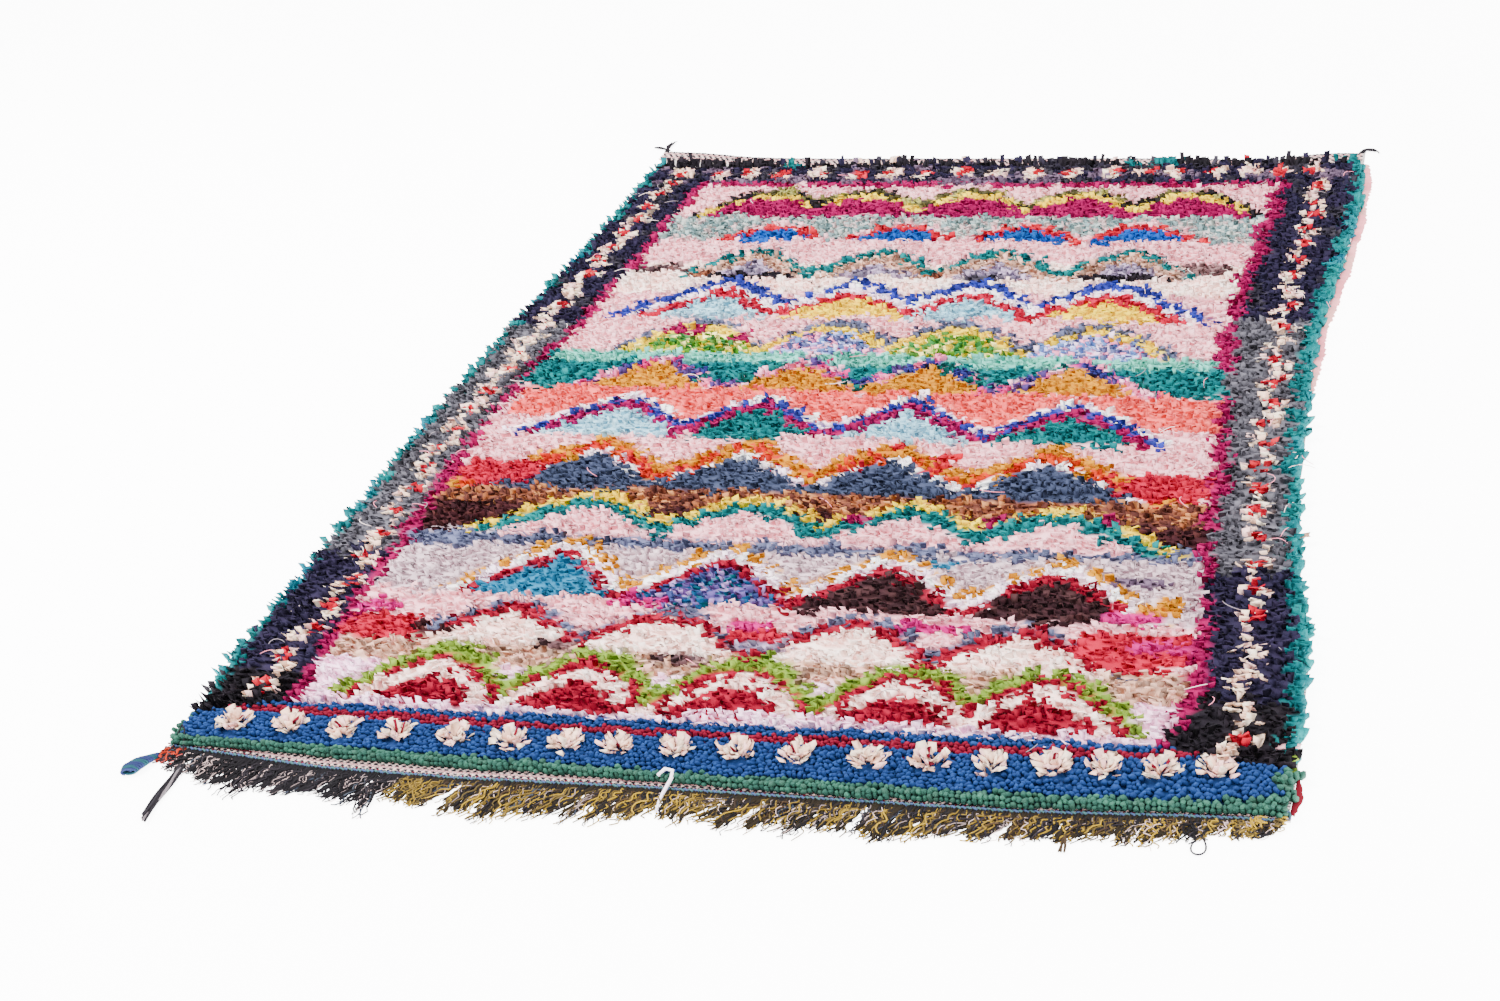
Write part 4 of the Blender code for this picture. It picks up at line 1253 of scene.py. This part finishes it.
def make_headings(material):
    """Rows of dark and pale stitches across both flat-woven ends, and the far end's dark edge."""
    rng = np.random.default_rng(31)
    spots, sizes, shades = [], [], []
    dark, pale, wine, rose = (34, 28, 35), (222, 186, 178), (90, 17, 33), (196, 140, 142)
    for near, way, rim_x, rim_y, pile, pitch, deep in (
            (True, 1, RIM_X, RIM_Y, SPAN_NEAR, 0.0052, 0.0040),
            (False, -1, FAR_X, FAR_Y, SPAN_FAR, 0.0072, 0.0056)):
        for row in range(10):
            xs = np.arange(rim_x[0] + 0.004, rim_x[-1] - 0.004, pitch) + (row % 2) * pitch / 2
            ys = np.interp(xs, rim_x, rim_y) + way * (0.5 * deep + row * deep)
            room = way * (np.interp(xs, GRID_X, pile) - ys)
            for k in np.flatnonzero(room > -0.001):
                if row == 0:
                    shade = dark if not near or k % 2 else wine
                elif row % 4 == 2:
                    shade = wine if near and xs[k] - CHART_X < 0.14 else rose
                else:
                    shade = dark if (k + row // 2) % 2 else pale
                spots.append((xs[k], ys[k], 0.0027 + rng.normal(0, 0.0002)))
                sizes.append((1.12 * pitch, 0.98 * deep, 0.0026))
                shades.append(dye_of(shade) * rng.uniform(0.85, 1.1))
    still = np.zeros(len(spots))
    turns = turned(rng.normal(0, 0.12, len(spots)), still, still)
    item = lay_down("heading_stitches", [stitch_form()], np.array(spots), turns, np.array(sizes),
                    np.array(shades), material, rng, 0.0002)
    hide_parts("rug")


Section = namedtuple("Section", "u v half_wide high")
TAIL = (
    Section(0.0080, -0.0254, 0.0050, 0.006),
    Section(0.0020, -0.0370, 0.0095, 0.010),
    Section(-0.0060, -0.0500, 0.0140, 0.014),
    Section(-0.0120, -0.0660, 0.0150, 0.015),
    Section(-0.0130, -0.0780, 0.0110, 0.012),
)


WRAP_THICK = 0.0036
WRAP_INSET = 0.0016


def make_tail(material):
    """The near left corner's tail: a core of cloth wound round and round with wool."""
    rng = np.random.default_rng(41)
    steps, turns = 260, 17
    share = np.linspace(0.02, 0.98, steps)
    u, v, half, high = (np.interp(share, np.linspace(0, 1, len(TAIL)), values)
                        for values in zip(*TAIL))
    half, high = half - WRAP_INSET, high - 2 * WRAP_INSET
    turn = share * 2 * math.pi * turns
    x = CHART_X + u + half * np.cos(turn) * 0.96
    y = CHART_Y + v + half * np.cos(turn) * 0.25 + rng.normal(0, 0.0002, steps)
    z = 0.0018 + high / 2 + high / 2 * np.sin(turn)
    blue, teal = dye_of((36, 44, 81)), dye_of((29, 64, 74))
    wound = np.where(np.sin(share * 23)[:, None] > 0.35, teal, blue)
    core = list(zip(CHART_X + u[::20], CHART_Y + v[::20], 0.0028 + high[::20] / 2))
    item = yarn_piece("tail_wrap", [list(zip(x, y, z)), core], [WRAP_THICK, high[::20] * 0.85],
                      [wound, dye_of((29, 37, 69))], material, 6, 1.0)
    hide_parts("corner_tail")


Yarn = namedtuple("Yarn", "turn length bend")
FAR_LEFT = (Yarn(0.75, 0.046, 0.10), Yarn(0.52, 0.050, -0.10),
            Yarn(0.28, 0.062, -0.06), Yarn(0.10, 0.040, 0.05))
FAR_RIGHT = (Yarn(0.30, 0.030, -0.35), Yarn(0.02, 0.036, -0.45), Yarn(-0.30, 0.026, -0.30))


def make_tassels(material):
    """Dark yarn ends knotted off at the two far corners."""
    rng = np.random.default_rng(43)
    for node, yarns in (("far_left_tassel", FAR_LEFT), ("far_right_tassel", FAR_RIGHT)):
        low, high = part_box(node)
        head_x = low[0] + 0.009 if yarns is FAR_RIGHT else high[0] - 0.007
        head_y = low[1] + 0.004
        routes, colours = [], []
        for turn in (0.0, 1.3, 2.6):
            routes.append([(head_x + 0.0060 * math.cos(a), head_y + 0.0032 * math.sin(a),
                            0.0029 + 0.0010 * math.sin(a + turn))
                           for a in np.linspace(turn, turn + 5.6, 12)])
            colours.append(dye_of((26, 24, 28)))
        thicks = [0.0030] * len(routes)
        for k, yarn in enumerate(yarns):
            for ply in range(3):
                route = []
                for share in np.linspace(0, 1, 9):
                    turn = yarn.turn + yarn.bend * share * 4 + 0.10 * (ply - 1)
                    out = yarn.length * share * (1.0 - 0.06 * ply)
                    wave = 0.0013 * math.sin(10 * share + 2 * ply + k)
                    route.append((head_x - out * math.sin(turn) + wave,
                                  head_y + 0.003 + out * math.cos(turn),
                                  0.0024 + 0.0014 * abs(math.sin(3 * share + ply))))
                routes.append(route)
                thicks.append(0.0034)
                colours.append(dye_of((28, 25, 29)) * rng.uniform(0.8, 1.3))
        name = node.replace("tassel", "yarns")
        item = yarn_piece(name, routes, thicks, colours, material, 4, 0.5)
        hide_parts(node)


def make_side_cloth(node, material, shades, seed):
    """A torn edge of cloth that lies flat beside the right edge, over the place of its node."""
    rng = np.random.default_rng(seed)
    verts = np.array([vert.co[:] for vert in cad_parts[node].data.vertices])
    rows = np.array(sorted({round(float(y), 4) for y in verts[:, 1]}))
    level = [verts[np.abs(verts[:, 1] - y) < 2e-4][:, 0] for y in rows]
    inner = np.array([xs.min() for xs in level])
    outer = np.array([xs.max() for xs in level])
    ys = np.arange(rows[0], rows[-1], 0.005)
    full = outer - inner > 0.003
    rows, inner, outer = rows[full], inner[full], outer[full]
    left = np.interp(ys, rows, inner) + 0.0002
    torn = rng.normal(0, 0.0011, len(ys)) - 0.0016 * (1 + np.sin(29 * ys))
    right = np.interp(ys, rows, outer) + torn
    lift = 0.0010 + 0.0008 * (1 + np.sin(ys * 90)) / 2 * rng.uniform(0.4, 1.0, len(ys))
    bm = bmesh.new()
    grid = []
    for k, y in enumerate(ys):
        line = []
        for share in (0.0, 0.35, 0.7, 1.0):
            x = left[k] + (right[k] - left[k]) * share
            z = 0.0004 + lift[k] * math.sin(math.pi * min(share * 1.2, 1.0)) * 1.1
            line.append(bm.verts.new((x, y + rng.normal(0, 0.0004), z)))
        grid.append(line)
    for low, high in zip(grid, grid[1:]):
        for k in range(3):
            bm.faces.new((low[k], low[k + 1], high[k + 1], high[k]))
    area = sum(face.calc_area() for face in bm.faces)
    for vert in new_verts(bmesh.ops.extrude_face_region(bm, geom=bm.faces[:], use_keep_orig=True)):
        vert.co.z += CLOTH_THICK
    bmesh.ops.recalc_face_normals(bm, faces=bm.faces[:])
    mesh = mesh_of(bm, node + "_cloth")
    at = np.array([vert.co.y for vert in mesh.vertices])
    pick = (np.floor((at + 0.012 * np.sin(43 * at)) / 0.065).astype(int) * 7) % len(shades)
    colours = dye_of(shades)[pick] * rng.uniform(0.94, 1.05, (len(at), 1))
    dye_mesh(mesh, colours)
    item = add_piece(node + "_cloth", mesh, material)
    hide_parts(node)


# Threads given one by one: the dye, how thick, and stops as u, v and height.
LAID_THREADS = (
    ((246, 231, 246), 0.0052, (
        (0.738, -0.006, 0.018), (0.745, 0.004, 0.022), (0.756, 0.002, 0.022),
        (0.757, -0.008, 0.017), (0.752, -0.020, 0.0090), (0.751, -0.040, 0.0080),
        (0.752, -0.064, 0.0035))),
    ((30, 27, 31), 0.0024, (
        (0.045, -0.026, 0.006), (0.038, -0.010, 0.010), (0.030, 0.012, 0.021),
        (0.024, 0.018, 0.024), (0.022, 0.008, 0.018), (0.028, -0.006, 0.008))),
)
LONG_END_DYES = ((28, 25, 29), (36, 33, 38), (22, 19, 23), (104, 96, 100), (26, 23, 27))
SPRIG = (1.494, 0.004)
STRAY_DYES = ((246, 225, 223), (238, 138, 160), (142, 130, 137))


def make_loose_threads(material):
    """Single threads that strayed: two loops, a twist of white, a long frayed end and a sprig."""
    routes, thicks, colours = [], [], []

    def add(chart_route, high, thick, shade):
        routes.append([(CHART_X + u, CHART_Y + v, z) for (u, v), z in zip(chart_route, high)])
        thicks.append(thick)
        colours.append(dye_of(shade))

    loop = [(1.434 + 0.0085 * math.sin(a) * (1 - 0.35 * math.cos(a)), -0.040 + 0.0175 * math.cos(a))
            for a in np.linspace(0.25, 2 * math.pi - 0.25, 18)]
    add(loop, [0.0022] * 18, 0.0026, (36, 34, 38))
    for shade, thick, stops in LAID_THREADS:
        add([stop[:2] for stop in stops], [stop[2] for stop in stops], thick, shade)
    along = np.linspace(0, 1, 14)
    for ply, shade in enumerate(LONG_END_DYES):
        start = 0.051 + 0.0020 * ply
        spread = 0.0012 * (ply - 2)
        route = [(start + 0.0020 * math.sin(7 * t + 1.6 * ply) + 0.007 * t + spread * t * t,
                  -0.048 - (0.112 + 0.004 * ply) * t) for t in along]
        add(route, [0.0038 + 0.0012 * math.sin(6 * t + 2 * ply) for t in along], 0.0042, shade)
    for ply in range(3):
        route = [(1.272 + 0.0016 * math.sin(4 * t + 2 * ply) + 0.002 * ply, -0.030 - 0.045 * t)
                 for t in np.linspace(0, 1, 8)]
        add(route, [0.0032] * 8, 0.0036, (56, 43, 30))
    rng = np.random.default_rng(47)
    root_u, root_v = SPRIG
    for _ in range(12):
        angle = rng.uniform(-2.6, 0.6)
        reach = rng.uniform(0.008, 0.018)
        tip = (root_u + reach * math.cos(angle), root_v + reach * math.sin(angle))
        middle = (0.5 * (root_u + tip[0]) + rng.normal(0, 0.002),
                  0.5 * (root_v + tip[1]) + rng.normal(0, 0.002))
        add([SPRIG, middle, tip], [0.012, 0.017, 0.013], 0.0022, (143, 115, 34))
    for _ in range(90):
        side = rng.random()
        ends = (1.41, 1.53) if side < 0.4 else (0.0, 0.10) if side < 0.6 else (0.1, 1.45)
        u = rng.uniform(*ends)
        x, y = place(u, rng.uniform(0.12, 2.25), 0.028)
        ground = float(height_at(np.array([x]), np.array([y]))[0])
        if ground < 0.012:
            continue
        way = rng.uniform(0, 6.28)
        long = rng.uniform(0.018, 0.042)
        bend = rng.normal(0, 0.9)
        shares = np.linspace(0, 1, 6)
        route = [(x - CHART_X + long * t * math.cos(way + bend * t),
                  y - CHART_Y + long * t * math.sin(way + bend * t)) for t in shares]
        high = [ground + 0.0005 + 0.003 * math.sin(math.pi * t) for t in shares]
        add(route, high, 0.0011, STRAY_DYES[rng.integers(3)])
    item = yarn_piece("stray_threads", routes, thicks, colours, material, 6, 0.8)
    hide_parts("near_fringe")


Rag = namedtuple("Rag", "u v turn cloth")
STRAY_RAGS = (
    Rag(1.546, 0.128, 2.2, "lime"), Rag(1.541, 0.120, 0.9, "lime"),
    Rag(1.512, 0.160, 1.6, "pale_pink"), Rag(1.524, 0.176, 2.0, "white"),
    Rag(1.530, 0.168, 1.2, "pale_pink"), Rag(1.535, 0.700, 1.7, "tan_print"),
)


def make_stray_rags(material):
    """Odd rag ends that stick out at the right edge."""
    rng = np.random.default_rng(61)
    forms = [rag_form(rng, 1.0, 0.8, (0.3, 0.8)) for _ in range(3)]
    spots = np.array([(CHART_X + rag.u - 0.006, CHART_Y + rag.v, 0.004) for rag in STRAY_RAGS])
    rim = np.interp(spots[:, 1], GRID_Y, SPAN_RIGHT)
    spots[:, 0] = np.minimum(spots[:, 0], rim - 0.013)
    count = len(spots)
    turns = turned(np.array([rag.turn for rag in STRAY_RAGS]), np.full(count, 0.5), np.zeros(count))
    colours = shade_of(np.array([KIND[rag.cloth] for rag in STRAY_RAGS]), rng, 0.05)
    item = lay_down("stray_rags", forms, spots, turns, np.tile([0.013, 0.025, 0.020], (count, 1)),
                    colours, material, rng, 0.0006)
    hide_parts("rug")


add_camera()
add_studio()
rag_cloth = dyed_material("rag_cloth", 900.0, 160.0, 0.0012)
wool = dyed_material("pile_wool", 1400.0, 420.0, 0.0014)
make_bed(rag_cloth)
make_rag_pile(rag_cloth)
make_wool_pile(wool)
make_near_flowers(rag_cloth)
make_stray_rags(rag_cloth)
ground_cotton = weave_material("ground_cotton")
make_ground_weave(ground_cotton)
yarn = dyed_material("yarn", 1800.0, 700.0, 0.0008)
make_braid(yarn)
make_fringe(yarn)
make_headings(yarn)
make_tail(yarn)
make_tassels(yarn)
make_loose_threads(yarn)
make_side_cloth("selvedge_strip", rag_cloth,
                ((226, 138, 146), (214, 126, 134), (234, 152, 156), (212, 150, 146)), 51)
make_side_cloth("selvedge_patch", rag_cloth,
                ((90, 14, 27), (101, 15, 30), (72, 13, 25)), 53)
